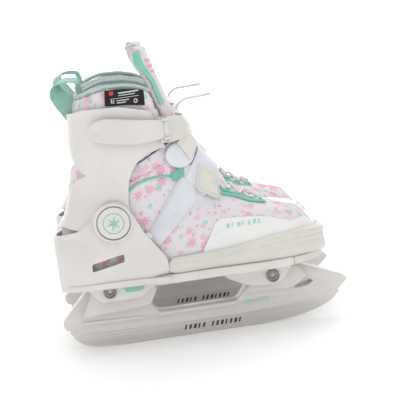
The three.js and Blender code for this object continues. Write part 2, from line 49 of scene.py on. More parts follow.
skateCentre = {"right": -0.055, "left": 0.055}  # Y of each blade

cameraSettings = {
    "place": (-0.0712, -1.3497, 0.3495),
    "target": (0.0075, -0.055, 0.1288),
    "roll": 7.6,
    "lens": 124.0,
}


def makeCamera():
    settings = cameraSettings
    camera = bpy.data.objects.new("camera", bpy.data.cameras.new("camera"))
    bpy.context.collection.objects.link(camera)
    place = Vector(settings["place"])
    forward = (Vector(settings["target"]) - place).normalized()
    turn = forward.to_track_quat("-Z", "Y")
    roll = Matrix.Rotation(math.radians(settings["roll"]), 4, forward)
    camera.matrix_world = Matrix.Translation(place) @ (roll @ turn.to_matrix().to_4x4())
    camera.data.lens = settings["lens"]
    camera.data.sensor_width = 36.0
    bpy.context.scene.camera = camera


makeCamera()
print("camera placed")

# Sizes from here on are millimetres on the right skate: X towards the toe, Y inwards, Z up from the ice.
# Foot: X, half width, height of the widest line, top, squareness of the top half.
footRows = [
    (-127, 8, 84, 104, 3), (-120, 19, 84, 110, 3), (-100, 27, 84, 116, 3), (-75, 29, 84, 120, 3),
    (-50, 33, 84, 128, 3), (-30, 39, 85, 138, 2.6), (14, 40.2, 88, 149, 2.1), (36, 42, 88, 138, 2.2),
    (56, 42.5, 88, 125, 2.3), (78, 39, 87, 119.5, 2.4), (95, 31, 85, 115, 2.5), (107, 21, 83, 101, 2.5),
    (114, 9, 81, 90, 2.5),
]
# Shaft: Z, rear X, front X, half width.
shaftRows = [
    (78, -122, -10, 27), (98, -128.5, 17, 30.5), (118, -127, 32, 33), (136, -117, 36, 34),
    (154, -111, 29.5, 34),
    (186, -106, 6.5, 35.3), (214, -103.6, -4.5, 36.8), (250, -98, -16, 39), (287, -92, -26, 39),
]
linerBottom = 72.4


def alongRows(rows, at):
    # smooth values between the rows, with slopes taken from the neighbours
    last = len(rows) - 1
    if at <= rows[0][0]:
        return rows[0][1:]
    if at >= rows[last][0]:
        return rows[last][1:]
    k = max(i for i in range(last) if rows[i][0] <= at)
    low, high = rows[k], rows[k + 1]
    span = high[0] - low[0]
    t = (at - low[0]) / span
    values = []
    for j in range(1, len(low)):
        slopes = []
        for i in (k, k + 1):
            a, b = rows[max(i - 1, 0)], rows[min(i + 1, last)]
            left = (rows[i][j] - a[j]) / (rows[i][0] - a[0]) if i > 0 else None
            right = (b[j] - rows[i][j]) / (b[0] - rows[i][0]) if i < last else None
            if left is None or right is None:
                slopes.append(right if left is None else left)
            elif left * right <= 0:
                slopes.append(0.0)
            else:
                slopes.append(2 * left * right / (left + right))
        h00, h10 = 2 * t**3 - 3 * t**2 + 1, t**3 - 2 * t**2 + t
        h01, h11 = -2 * t**3 + 3 * t**2, t**3 - t**2
        values.append(h00 * low[j] + h10 * span * slopes[0] + h01 * high[j] + h11 * span * slopes[1])
    return values


def lineAt(points, at):
    # straight steps between (position, value) points
    if at <= points[0][0]:
        return points[0][1]
    for (a, va), (b, vb) in zip(points, points[1:]):
        if at <= b:
            return va + (vb - va) * (at - a) / max(b - a, 1e-6)
    return points[-1][1]


def bulge(value, power):
    # a cosine or sine squared off by a superellipse's power
    return math.copysign(abs(value) ** (2.0 / power), value)


def step(low, high, at):
    # eased from 0 to 1 between low and high
    t = min(max((at - low) / (high - low), 0.0), 1.0)
    return t * t * (3 - 2 * t)


def gridMesh(uSteps, vSteps, place):
    # a flat grid whose points are then carried to their places
    bm = bmesh.new()
    bmesh.ops.create_grid(bm, x_segments=uSteps, y_segments=vSteps, size=0.5)
    for vert in bm.verts:
        vert.co = place(vert.co.x + 0.5, vert.co.y + 0.5)
    return bm


def closed(bm, gap=0.01):
    bmesh.ops.remove_doubles(bm, verts=bm.verts, dist=gap)
    bmesh.ops.recalc_face_normals(bm, faces=bm.faces)
    return bm


def footPoint(grow, x, angle):
    halfWidth, widest, top, power = alongRows(footRows, x)
    first, last = footRows[0][0], footRows[-1][0]
    along = x + grow * (2 * (x - first) / (last - first) - 1)
    across, up = math.cos(angle), math.sin(angle)
    shape = power if up >= 0 else 4
    reach = top + grow - widest if up >= 0 else widest - linerBottom + grow
    return Vector((along, (halfWidth + grow) * bulge(across, shape), widest + reach * bulge(up, shape)))


def shaftPoint(grow, z, angle):
    rear, front, halfWidth = alongRows(shaftRows, z)
    reach = (front - rear) / 2 + grow
    return Vector(((rear + front) / 2 + reach * bulge(math.cos(angle), 2.2),
                   (halfWidth + grow) * bulge(math.sin(angle), 2.2), z))


def tubeForm(point, rows, grow, around=80, along=90):
    # a whole loft, closed at both ends
    first, last = rows[0][0], rows[-1][0]

    def place(u, v):
        at = first + (last - first) * (0.5 - 0.5 * math.cos(math.pi * min(max((v - 0.02) / 0.96, 0), 1)))
        spot = point(grow, at, 2 * math.pi * u)
        if v < 0.01 or v > 0.99:
            spot = sum((point(grow, at, math.pi * k / 2) for k in range(4)), Vector()) / 4
        return spot

    return closed(gridMesh(around, along, place), 0.02)


formCache = {}


def form(kind, grow):
    # the foot, the shaft or both, grown by some millimetres, ready to be touched by rays
    if (kind, grow) not in formCache:
        made = []
        if kind in ("foot", "boot"):
            made.append(tubeForm(footPoint, footRows, grow))
        if kind in ("shaft", "boot"):
            made.append(tubeForm(shaftPoint, shaftRows, grow))
        formCache[(kind, grow)] = [BVHTree.FromBMesh(bm) for bm in made]
        for bm in made:
            bm.free()
    return formCache[(kind, grow)]


def touch(trees, origin, direction, reach=220.0):
    # the outermost skin point seen from far along `direction` back towards `origin`
    direction = direction.normalized()
    start = origin + direction * reach
    best = None
    for tree in trees:
        found = tree.ray_cast(start, -direction, reach)
        if found[0] is not None and (best is None or found[3] < best[1]):
            best = (found[0], found[3])
    return best[0] if best else None


print("boot form ready")


def sideOf(x, z, grow, which="boot"):
    # the point on the outer side over (x, z)
    found = touch(form(which, grow), Vector((x, 0, z)), Vector((0, -1, 0)))
    return found if found else Vector((x, 0, z))


def fanPoint(s, z, grow, rearEnd, centre=72.0, split=0.42):
    # round the toe: s runs from the outer side's rear end (-1), past the tip (0), to the inner side (1)
    size = abs(s)
    if size < split:
        angle = math.pi / 2 * size / split
        origin = Vector((centre, 0, z))
        direction = Vector((math.cos(angle), math.copysign(math.sin(angle), s), 0))
    else:
        origin = Vector((centre + (rearEnd - centre) * (size - split) / (1 - split), 0, z))
        direction = Vector((0, math.copysign(1.0, s), 0))
    found = touch(form("foot", grow), origin, direction)
    return (found if found else origin), direction


def heelPoint(s, z, grow, centre=-80.0, frontEnd=-5.0, split=0.42):
    # round the heel in the same way, with s = 0 at the back
    size = abs(s)
    if size < split:
        angle = math.pi / 2 * size / split
        origin = Vector((centre, 0, z))
        direction = Vector((-math.cos(angle), math.copysign(math.sin(angle), s), 0))
    else:
        origin = Vector((centre + (frontEnd - centre) * (size - split) / (1 - split), 0, z))
        direction = Vector((0, math.copysign(1.0, s), 0))
    found = touch(form("boot", grow), origin, direction)
    return found if found else origin


def overPoint(x, lean, grow, height, tilt):
    # over the instep: lean in degrees from straight up, negative to the outer side
    turn = math.radians(lean)
    direction = Vector((tilt * math.cos(turn), math.sin(turn), math.cos(turn)))
    found = touch(form("boot", grow), Vector((x, 0, height)), direction)
    return found if found else Vector((x, 0, height))


def polylineAt(points, share):
    # the point at a share of a polyline's length
    points = [Vector(p) for p in points]
    lengths = [(b - a).length for a, b in zip(points, points[1:])]
    goal = share * sum(lengths)
    for a, b, length in zip(points, points[1:], lengths):
        if goal <= length or b == points[-1]:
            return a.lerp(b, min(goal / max(length, 1e-6), 1.0))
        goal -= length


def curvedAt(points, share):
    # the same, rounded through the points
    points = [Vector(p) for p in points]
    n = len(points) - 1
    at = min(max(share, 0.0), 1.0) * n
    k = min(int(at), n - 1)
    t = at - k
    p0, p1, p2, p3 = points[max(k - 1, 0)], points[k], points[k + 1], points[min(k + 2, n)]
    return 0.5 * (2 * p1 + (p2 - p0) * t + (2 * p0 - 5 * p1 + 4 * p2 - p3) * t**2
                  + (3 * p1 - p0 - 3 * p2 + p3) * t**3)


def between(lower, upper, u, v):
    # the flat point at shares u along and v across two curved lines of (x, z) points
    low, high = [curvedAt([(a, b, 0) for a, b in line], u) for line in (lower, upper)]
    return low.lerp(high, v)


def sidePatch(lower, upper, grow, columns, rows, which="boot"):
    # a sheet on the outer side between a lower and an upper edge
    def place(u, v):
        spot = between(lower, upper, u, v)
        return sideOf(spot.x, spot.y, grow, which)

    return gridMesh(columns, rows, place)


edgeMemory = {}


def edgeHeight(line, angle):
    # where the column at this angle of the shaft meets an edge line given as (x, z) points
    key = (tuple(line), round(angle, 6))
    if key not in edgeMemory:
        low, high = 80.0, 287.0  # heights searched, halved at each turn
        for _ in range(18):
            middle = (low + high) / 2
            if middle < lineAt(line, shaftPoint(0, middle, angle).x):
                low = middle
            else:
                high = middle
        edgeMemory[key] = (low + high) / 2
    return edgeMemory[key]


def shaftPanel(fromAngle, toAngle, lowLine, highLine, grow, columns, rows):
    # a sheet round the shaft, its edges given as (x, z) lines
    def place(u, v):
        angle = math.radians(fromAngle + (toAngle - fromAngle) * u)
        ends = [edgeHeight(line, angle) for line in (lowLine, highLine)]
        z = ends[0] + (ends[1] - ends[0]) * v
        return shaftPoint(grow(angle, z, v), z, angle)

    return gridMesh(columns, rows, place)


def pillow(point, thickness, columns, rows, rim):
    # a padded form: two skins that meet in a rounded border, narrower where rim is higher
    bm = bmesh.new()
    for side in (1, -1):
        before = set(bm.verts)
        bmesh.ops.create_grid(bm, x_segments=columns, y_segments=rows, size=0.5)
        for vert in [v for v in bm.verts if v not in before]:
            u, v = vert.co.x + 0.5, vert.co.y + 0.5
            here = point(u, v)
            du = point(min(u + 0.01, 1), v) - point(max(u - 0.01, 0), v)
            dv = point(u, min(v + 0.01, 1)) - point(u, max(v - 0.01, 0))
            normal = du.cross(dv)
            normal = normal.normalized() if normal.length > 1e-9 else Vector((0, 0, 1))
            edge = (1 - abs(2 * u - 1) ** (2 * rim)) * (1 - abs(2 * v - 1) ** (2 * rim))
            fat = thickness(u, v) if callable(thickness) else thickness
            vert.co = here + normal * (side * fat / 2 * math.sqrt(max(edge, 0.0)))
    return closed(bm, 0.02)


def tubeMesh(points, radius, sides, steps, curved=True, ends=True):
    # a round tube along points, with closed ends unless it is a ring
    walk = curvedAt if curved else polylineAt

    def frameAt(v):
        here = walk(points, v)
        ahead = (walk(points, min(v + 0.01, 1)) - walk(points, max(v - 0.01, 0))).normalized()
        across = ahead.cross(Vector((0.13, 0.2, 0.97)))
        across = across.normalized() if across.length > 1e-4 else Vector((1, 0, 0))
        return here, across, ahead.cross(across)

    def place(u, v):
        here, across, up = frameAt(v)
        size = radius(v) if callable(radius) else radius
        if ends and (v < 1e-6 or v > 1 - 1e-6):
            size *= 0.02
        turn = 2 * math.pi * u
        return here + (across * math.cos(turn) + up * math.sin(turn)) * size

    bm = closed(gridMesh(sides, steps, place), 0.001)
    if ends:
        bmesh.ops.remove_doubles(bm, verts=bm.verts, dist=0.12)
    bmesh.ops.recalc_face_normals(bm, faces=bm.faces)
    return bm


def ribbonMesh(points, widths, widthWay, steps, across):
    # a flat ribbon along points, its width turned as widthWay(share) says
    def place(u, v):
        return curvedAt(points, v) + widthWay(v).normalized() * ((u - 0.5) * widths(v))

    return gridMesh(across, steps, place)


def rounded(outline, radius, steps=5):
    # the outline with each corner turned into an arc
    points = [Vector((a, b, 0)) for a, b in outline]
    made = []
    for k, corner in enumerate(points):
        back, ahead = points[k - 1] - corner, points[(k + 1) % len(points)] - corner
        reach = min(radius, back.length * 0.45, ahead.length * 0.45)
        start, end = corner + back.normalized() * reach, corner + ahead.normalized() * reach
        for i in range(steps + 1):
            t = i / steps
            spot = start * (1 - t) ** 2 + corner * (2 * t * (1 - t)) + end * t**2
            made.append((spot.x, spot.y))
    return made


def flatShape(outline, low, high, bevel, holes=(), along="Y"):
    # a filled outline with rounded edges, between two positions along Y (outline in XZ) or along Z (in XY)
    curve = bpy.data.curves.new("outline", "CURVE")
    curve.dimensions, curve.fill_mode = "2D", "BOTH"
    curve.extrude = max((high - low) / 2 - bevel, 0.01)
    curve.bevel_depth, curve.bevel_resolution, curve.offset = bevel, 2, -bevel
    for loop in [outline, *holes]:
        spline = curve.splines.new("POLY")
        spline.points.add(len(loop) - 1)
        for point, (a, b) in zip(spline.points, loop):
            point.co = (a, b, 0, 1)
        spline.use_cyclic_u = True
    carrier = bpy.data.objects.new("outline", curve)
    bpy.context.collection.objects.link(carrier)
    mesh = bpy.data.meshes.new_from_object(carrier.evaluated_get(bpy.context.evaluated_depsgraph_get()))
    bm = bmesh.new()
    bm.from_mesh(mesh)
    bpy.data.objects.remove(carrier)
    bpy.data.curves.remove(curve)
    bpy.data.meshes.remove(mesh)
    closed(bm, 0.001)
    if along == "Y":
        bmesh.ops.rotate(bm, verts=bm.verts, cent=(0, 0, 0), matrix=Matrix.Rotation(math.pi / 2, 3, "X"))
        bmesh.ops.translate(bm, verts=bm.verts, vec=(0, (low + high) / 2, 0))
    else:
        bmesh.ops.translate(bm, verts=bm.verts, vec=(0, 0, (low + high) / 2))
    return bm


def turned(profile, centre, along, sides):
    # a profile of (radius, height) points spun about its axis
    bm = bmesh.new()
    chain = [bm.verts.new((r, 0, h)) for r, h in profile]
    for a, b in zip(chain, chain[1:]):
        bm.edges.new((a, b))
    bmesh.ops.spin(bm, geom=bm.verts[:] + bm.edges[:], cent=(0, 0, 0), axis=(0, 0, 1), dvec=(0, 0, 0),
                   angle=2 * math.pi, steps=sides, use_merge=True, use_duplicate=False)
    closed(bm, 0.01)
    if along != "Z":  # heights then run towards the outer side (-Y) or the inner side (Y)
        way = math.pi / 2 if along == "-Y" else -math.pi / 2
        bmesh.ops.rotate(bm, verts=bm.verts, cent=(0, 0, 0), matrix=Matrix.Rotation(way, 3, "X"))
    bmesh.ops.translate(bm, verts=bm.verts, vec=centre)
    return bm


def joined(*parts):
    # one mesh holding all the parts, which are used up
    bm = bmesh.new()
    for part in parts:
        mesh = bpy.data.meshes.new("part")
        part.to_mesh(mesh)
        part.free()
        bm.from_mesh(mesh)
        bpy.data.meshes.remove(mesh)
    return bm


def smoothed(bm, times):
    for _ in range(times):
        bmesh.ops.smooth_vert(bm, verts=bm.verts, factor=0.5, use_axis_x=True, use_axis_y=True,
                              use_axis_z=True)
    return bm


def mirrored(bm):
    # the shape and its mirror image across the skate's middle plane
    bmesh.ops.mirror(bm, geom=bm.verts[:] + bm.edges[:] + bm.faces[:], axis="Y", merge_dist=-1)
    bmesh.ops.recalc_face_normals(bm, faces=bm.faces)
    return bm


def settled(bm, thick=0.0, offset=1.0, bevel=0.0, segments=2, subdivide=0, remesh=0.0, sharp=40.0, even=True):
    # a mesh with its wall and rounded edges, or made even or finer
    mesh = bpy.data.meshes.new("work")
    bm.to_mesh(mesh)
    bm.free()
    work = bpy.data.objects.new("work", mesh)
    bpy.context.collection.objects.link(work)
    if remesh:
        modifier = work.modifiers.new("remesh", "REMESH")
        modifier.mode, modifier.voxel_size = "VOXEL", remesh
    if thick:
        modifier = work.modifiers.new("wall", "SOLIDIFY")
        modifier.thickness, modifier.offset, modifier.use_even_offset = thick, offset, even
    if bevel:
        modifier = work.modifiers.new("edges", "BEVEL")
        modifier.width, modifier.segments, modifier.limit_method = bevel, segments, "ANGLE"
        modifier.angle_limit = math.radians(sharp)
    if subdivide:
        modifier = work.modifiers.new("finer", "SUBSURF")
        modifier.levels = modifier.render_levels = subdivide
    made = bpy.data.meshes.new_from_object(work.evaluated_get(bpy.context.evaluated_depsgraph_get()))
    bpy.data.objects.remove(work)
    bpy.data.meshes.remove(mesh)
    return made


def facing(bm, away=Vector((-45, 0, 150))):
    # turns an open sheet so that its faces look away from a point inside
    total = sum((face.calc_center_median() - away).dot(face.normal) * face.calc_area() for face in bm.faces)
    if total < 0:
        bmesh.ops.reverse_faces(bm, faces=bm.faces)
    return bm


def printMap(mesh, where):
    # a UV map in centimetres along the cloth
    layer = mesh.uv_layers.new(name="print")
    for polygon in mesh.polygons:
        for loop in polygon.loop_indices:
            spot = mesh.vertices[mesh.loops[loop].vertex_index].co
            layer.data[loop].uv = where(spot)


def finish(name, source, body, look, slot, replaces=(), sharp=32, blend=None, uv=None, **work):
    # both skates' copies of a piece, from one mesh in the right skate's millimetres
    mesh = settled(source, **work) if isinstance(source, bmesh.types.BMesh) else source
    if uv:
        printMap(mesh, uv)
    for side in skateCentre:
        copy = mesh.copy()
        copy.name = side + "_" + name
        mirror = -1 if side == "left" else 1
        copy.transform(Matrix.Translation((0, skateCentre[side], 0)) @ Matrix.Diagonal((mm, mirror * mm, mm,
                                                                                        1)))
        if mirror < 0:
            copy.flip_normals()
        for polygon in copy.polygons:
            polygon.use_smooth = True
        copy.set_sharp_from_angle(angle=math.radians(sharp))
        piece = bpy.data.objects.new(side + "_" + name, copy)
        bpy.context.collection.objects.link(piece)
        copy.materials.clear()
        copy.materials.append(look)
        if blend:
            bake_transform(piece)
        else:
            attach(piece, side + "_" + body)
        if replaces:
            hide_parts(*[side + "_" + node for node in replaces])
    if mesh.users == 0:
        bpy.data.meshes.remove(mesh)


def local(point, side):
    # a point of the right skate, in metres on either skate
    mirror = -1 if side == "left" else 1
    return (point[0] * mm, skateCentre[side] + mirror * point[1] * mm, point[2] * mm)


print("helpers ready")


class Wiring:
    # short ways to place and join shader nodes
    def __init__(self, tree):
        self.tree = tree

    def add(self, kind, inputs=None, **settings):
        node = self.tree.nodes.new(kind)
        for key, value in settings.items():
            setattr(node, key, value)
        for key, value in (inputs or {}).items():
            self.feed(node, key, value)
        return node

    def join(self, socket, value):
        if isinstance(value, bpy.types.NodeSocket):
            self.tree.links.new(value, socket)
        else:
            socket.default_value = value

    def feed(self, node, key, value):
        self.join(node.inputs[key], value)

    def group(self, group, **inputs):
        return self.add("ShaderNodeGroup", inputs, node_tree=group).outputs

    def math(self, operation, a, b=0.0):
        return self.add("ShaderNodeMath", {0: a, 1: b}, operation=operation).outputs[0]

    def plus(self, a, b):
        return self.math("ADD", a, b)

    def minus(self, a, b):
        return self.math("SUBTRACT", a, b)

    def times(self, a, b):
        return self.math("MULTIPLY", a, b)

    def absolute(self, a):
        return self.math("ABSOLUTE", a)

    def scaled(self, vector, by):
        return self.add("ShaderNodeVectorMath", {0: vector, "Scale": by}, operation="SCALE").outputs[0]

    def mapped(self, vector, **values):
        return self.add("ShaderNodeMapping", {"Vector": vector, **values}).outputs[0]

    def noise(self, place, scale, detail=2.0, **more):
        inputs = {"Vector": place, "Scale": scale, "Detail": detail, **more}
        return self.add("ShaderNodeTexNoise", inputs).outputs["Fac"]

    def ramp(self, value, low, high):
        # 0 to 1 between low and high, eased at both ends
        inputs = {"Value": value, "From Min": low, "From Max": high}
        return self.add("ShaderNodeMapRange", inputs, interpolation_type="SMOOTHSTEP").outputs[0]

    def blend(self, share, a, b):
        node = self.add("ShaderNodeMix", data_type="RGBA")
        sockets = {socket.identifier: socket for socket in node.inputs}
        for key, value in (("Factor_Float", share), ("A_Color", a), ("B_Color", b)):
            self.join(sockets[key], value)
        return next(socket for socket in node.outputs if socket.identifier == "Result_Color")


def newGroup(name, inputs, outputs):
    # a node group; an input without a value is a place, and all the others are numbers
    group = bpy.data.node_groups.new(name, "ShaderNodeTree")
    for key, value in inputs.items():
        kind = "NodeSocketVector" if value is None else "NodeSocketFloat"
        socket = group.interface.new_socket(key, in_out="INPUT", socket_type=kind)
        if value is not None:
            socket.default_value = value
    for key in outputs:
        group.interface.new_socket(key, in_out="OUTPUT", socket_type="NodeSocketFloat")
    w = Wiring(group)
    return group, w, w.add("NodeGroupInput").outputs, w.add("NodeGroupOutput")


def makeMouldGrain():
    # the fine leathery pits of moulded plastic, and broad uneven gloss
    group, w, given, result = newGroup("mouldGrain", {"Place": None, "Grain": 900.0, "Unevenness": 60.0},
                                       ("Height", "Mottle"))
    w.feed(result, "Height", w.noise(given["Place"], given["Grain"], Roughness=0.6))
    w.feed(result, "Mottle", w.ramp(w.noise(given["Place"], given["Unevenness"], 3.0), 0.3, 0.7))
    return group


def makeScuffs():
    # thin stray scratches and rub marks from handling
    group, w, given, result = newGroup("scuffs", {"Place": None, "Density": 40.0}, ("Marks",))
    patches = w.noise(given["Place"], given["Density"], 4.0)
    streaks = w.noise(w.mapped(given["Place"], Rotation=(0.4, 0.9, 0.3), Scale=(1.0, 14.0, 9.0)), 70.0, 3.0)
    w.feed(result, "Marks", w.times(w.ramp(patches, 0.55, 0.72), w.ramp(streaks, 0.56, 0.66)))
    return group


def makeWovenCloth():
    # plain weave from two sets of crossing threads; Threads is their number per unit of Place
    group, w, given, result = newGroup("wovenCloth", {"Place": None, "Threads": 12.0}, ("Height", "Shade"))
    scaled = w.scaled(given["Place"], given["Threads"])
    parts = w.add("ShaderNodeSeparateXYZ", {0: scaled}).outputs
    across, along = [w.absolute(w.math("SINE", w.times(parts[k], math.pi))) for k in (0, 1)]
    cells = w.plus(w.math("FLOOR", parts[0]), w.math("FLOOR", parts[1]))
    over = w.absolute(w.math("MODULO", cells, 2.0))
    height = w.plus(w.times(across, over), w.times(along, w.minus(1.0, over)))
    fuzz = w.noise(scaled, 1.7, 3.0)
    w.feed(result, "Height", w.plus(height, w.times(fuzz, 0.5)))
    w.feed(result, "Shade", w.ramp(fuzz, 0.25, 0.75))
    return group


def makeScatteredPrint():
    # one motif per cell: open stars, spiky snow stars and round berries, each turned its own way
    group, w, given, result = newGroup(
        "scatteredPrint", {"Place": None, "Motifs": 1.0, "Size": 0.34, "Points": 5.0, "Share": 0.6},
        ("Ink", "Ring", "Pick"))
    cells = w.add("ShaderNodeTexVoronoi",
                  {"Vector": given["Place"], "Scale": given["Motifs"], "Randomness": 0.75},
                  voronoi_dimensions="2D").outputs
    scaled, centre = [w.scaled(place, given["Motifs"]) for place in (given["Place"], cells["Position"])]
    offset = w.add("ShaderNodeVectorMath", {0: scaled, 1: centre}, operation="SUBTRACT").outputs[0]
    parts = w.add("ShaderNodeSeparateXYZ", {0: offset}).outputs
    squares = [w.math("POWER", w.absolute(parts[k]), 2.0) for k in (0, 1)]
    reach = w.math("SQRT", w.plus(*squares))
    chance = w.add("ShaderNodeSeparateColor", {0: cells["Color"]}).outputs
    fullTurn = 6.283
    turn = w.plus(w.math("ARCTAN2", parts[1], parts[0]), w.times(chance[0], fullTurn))
    petals = w.absolute(w.math("COSINE", w.times(turn, w.times(given["Points"], 0.5))))
    grown = w.times(given["Size"], w.plus(0.55, w.times(chance[1], 0.55)))
    edge = w.times(grown, w.plus(0.3, w.times(petals, 0.7)))
    motif = w.times(w.ramp(w.minus(edge, reach), -0.012, 0.03), w.ramp(reach, 0.035, 0.06))
    present = w.math("LESS_THAN", chance[2], given["Share"])
    ringLine = w.ramp(w.absolute(w.minus(reach, w.times(grown, 1.15))), 0.035, 0.012)
    gaps = w.ramp(w.math("COSINE", w.times(turn, 3.0)), -0.2, 0.2)
    w.feed(result, "Ink", w.times(motif, present))
    w.feed(result, "Ring", w.times(w.times(ringLine, gaps), present))
    w.feed(result, "Pick", chance[1])
    return group


mouldGrain, scuffs = makeMouldGrain(), makeScuffs()
wovenCloth, scatteredPrint = makeWovenCloth(), makeScatteredPrint()


def linear(red, green, blue):
    # a colour of 0 to 255 as Blender's linear values
    return tuple(((c / 255 + 0.055) / 1.055) ** 2.4 if c > 10 else c / 255 / 12.92
                 for c in (red, green, blue)) + (1.0,)


def toned(colour, by):
    return linear(*[min(c * by, 255) for c in colour])


def freshMaterial(name, values):
    material = bpy.data.materials.new(name)
    material.use_nodes = True
    tree = material.node_tree
    tree.nodes.clear()
    w = Wiring(tree)
    surface = w.add("ShaderNodeBsdfPrincipled", values)
    w.add("ShaderNodeOutputMaterial", {"Surface": surface.outputs[0]})
    place = w.add("ShaderNodeTexCoord").outputs
    return material, w, surface, place


def bumped(w, surface, height, strength, distance):
    bump = w.add("ShaderNodeBump", {"Height": height, "Strength": strength, "Distance": distance})
    w.feed(surface, "Normal", bump.outputs[0])


def mouldedPlastic(name, colour, shade, rough, grain=1100.0, bump=0.12, coat=0.0):
    material, w, surface, place = freshMaterial(
        name, {"Roughness": rough, "IOR": 1.48, "Coat Weight": coat, "Coat Roughness": 0.2})
    skin = w.group(mouldGrain, Place=place["Object"], Grain=grain, Unevenness=35.0)
    marks = w.group(scuffs, Place=place["Object"], Density=45.0)["Marks"]
    tint = w.blend(w.times(skin["Mottle"], 0.45), linear(*colour), linear(*shade))
    w.feed(surface, "Base Color", w.blend(w.times(marks, 0.2), tint, toned(colour, 0.82)))
    gloss = w.plus(rough - 0.05, w.times(skin["Mottle"], 0.1))
    w.feed(surface, "Roughness", w.plus(gloss, w.times(marks, 0.15)))
    bumped(w, surface, w.minus(skin["Height"], w.times(marks, 0.4)), bump, 0.0003)
    return material


def printedCloth():
    material, w, surface, place = freshMaterial(
        "printedCloth", {"Roughness": 0.78, "Sheen Weight": 0.25, "Sheen Roughness": 0.4,
                         "Specular IOR Level": 0.3})
    flat = place["UV"]
    cloth = w.group(wovenCloth, Place=flat, Threads=16.0)
    colour = w.blend(w.times(cloth["Shade"], 0.35), linear(228, 226, 230), linear(214, 212, 216))
    ringedPoints = 8.0  # points of the motif that has a ring round it
    prints = (  # motifs per cm, size, points, share, ink, offset
        (0.72, 0.36, ringedPoints, 0.62, (238, 158, 186), 0.0), (0.9, 0.32, 5.0, 0.5, (240, 176, 200), 3.7),
        (1.35, 0.26, 3.0, 0.45, (232, 150, 176), 8.1), (0.95, 0.3, 1.0, 0.4, (160, 216, 202), 5.3),
        (2.6, 0.24, 1.0, 0.34, (243, 186, 205), 11.9),
    )
    for motifs, size, points, share, ink, offset in prints:
        moved = w.add("ShaderNodeVectorMath", {0: flat, 1: (offset, offset * 0.6, 0.0)}, operation="ADD")
        marks = w.group(scatteredPrint, Place=moved.outputs[0], Motifs=motifs, Size=size, Points=points,
                        Share=share)
        strength = w.times(marks["Ink"], w.plus(0.6, w.times(marks["Pick"], 0.4)))
        colour = w.blend(strength, colour, linear(*ink))
        if points == ringedPoints:
            colour = w.blend(w.times(marks["Ring"], 0.7), colour, linear(240, 180, 200))
    w.feed(surface, "Base Color", colour)
    bumped(w, surface, cloth["Height"], 0.35, 0.00025)
    return material


def wovenWebbing(name, colour, threads, bump, sheen=0.3, uv=False):
    material, w, surface, place = freshMaterial(
        name, {"Roughness": 0.72, "Sheen Weight": sheen, "Sheen Roughness": 0.35, "Specular IOR Level": 0.3})
    flat = place["UV"] if uv else w.mapped(place["Object"], Rotation=(math.pi / 2, 0.35, 0.0),
                                           Scale=(100.0, 100.0, 100.0))
    cloth = w.group(wovenCloth, Place=flat, Threads=threads)
    skin = w.group(mouldGrain, Place=place["Object"], Grain=2400.0, Unevenness=90.0)
    tint = w.blend(w.times(cloth["Shade"], 0.5), linear(*colour), toned(colour, 0.86))
    w.feed(surface, "Base Color", w.blend(w.times(skin["Mottle"], 0.25), tint, toned(colour, 1.06)))
    bumped(w, surface, w.plus(cloth["Height"], w.times(skin["Height"], 0.3)), bump, 0.0003)
    return material


def smoothStrap(name, colour, rough=0.5):
    material, w, surface, place = freshMaterial(
        name, {"Roughness": rough, "Sheen Weight": 0.1, "Coat Weight": 0.08, "Coat Roughness": 0.4})
    creases = w.add("ShaderNodeTexVoronoi", {"Vector": place["Object"], "Scale": 1500.0, "Randomness": 1.0},
                    feature="DISTANCE_TO_EDGE").outputs["Distance"]
    skin = w.group(mouldGrain, Place=place["Object"], Grain=600.0, Unevenness=40.0)
    w.feed(surface, "Base Color", w.blend(w.times(skin["Mottle"], 0.5), linear(*colour), toned(colour, 0.94)))
    w.feed(surface, "Roughness", w.plus(rough - 0.06, w.times(skin["Mottle"], 0.12)))
    bumped(w, surface, w.plus(w.ramp(creases, 0.0, 0.12), skin["Height"]), 0.18, 0.0002)
    return material


def groundSteel(name, colour, rough, lines=True):
    material, w, surface, place = freshMaterial(
        name, {"Metallic": 1.0, "Roughness": rough, "Anisotropic": 0.4 if lines else 0.0})
    streaks = w.noise(w.mapped(place["Object"],
                               Scale=(8.0, 300.0, 2600.0) if lines else (500.0, 500.0, 500.0)), 1.0, 4.0)
    marks = w.group(scuffs, Place=place["Object"], Density=60.0)["Marks"]
    w.feed(surface, "Base Color", w.blend(w.ramp(streaks, 0.35, 0.65), linear(*colour), toned(colour, 0.86)))
    w.feed(surface, "Roughness",
           w.plus(w.times(w.ramp(streaks, 0.3, 0.7), 0.14), w.plus(rough - 0.07, w.times(marks, 0.2))))
    bumped(w, surface, w.plus(streaks, marks), 0.15, 0.0001)
    return material


def braidedCord(name, colour):
    material, w, surface, place = freshMaterial(name, {"Roughness": 0.8, "Sheen Weight": 0.3})
    cloth = w.group(wovenCloth, Place=w.mapped(place["UV"], Rotation=(0.0, 0.0, 0.785)), Threads=14.0)
    w.feed(surface, "Base Color", w.blend(w.times(cloth["Shade"], 0.6), linear(*colour), toned(colour, 0.8)))
    bumped(w, surface, cloth["Height"], 0.3, 0.0002)
    return material


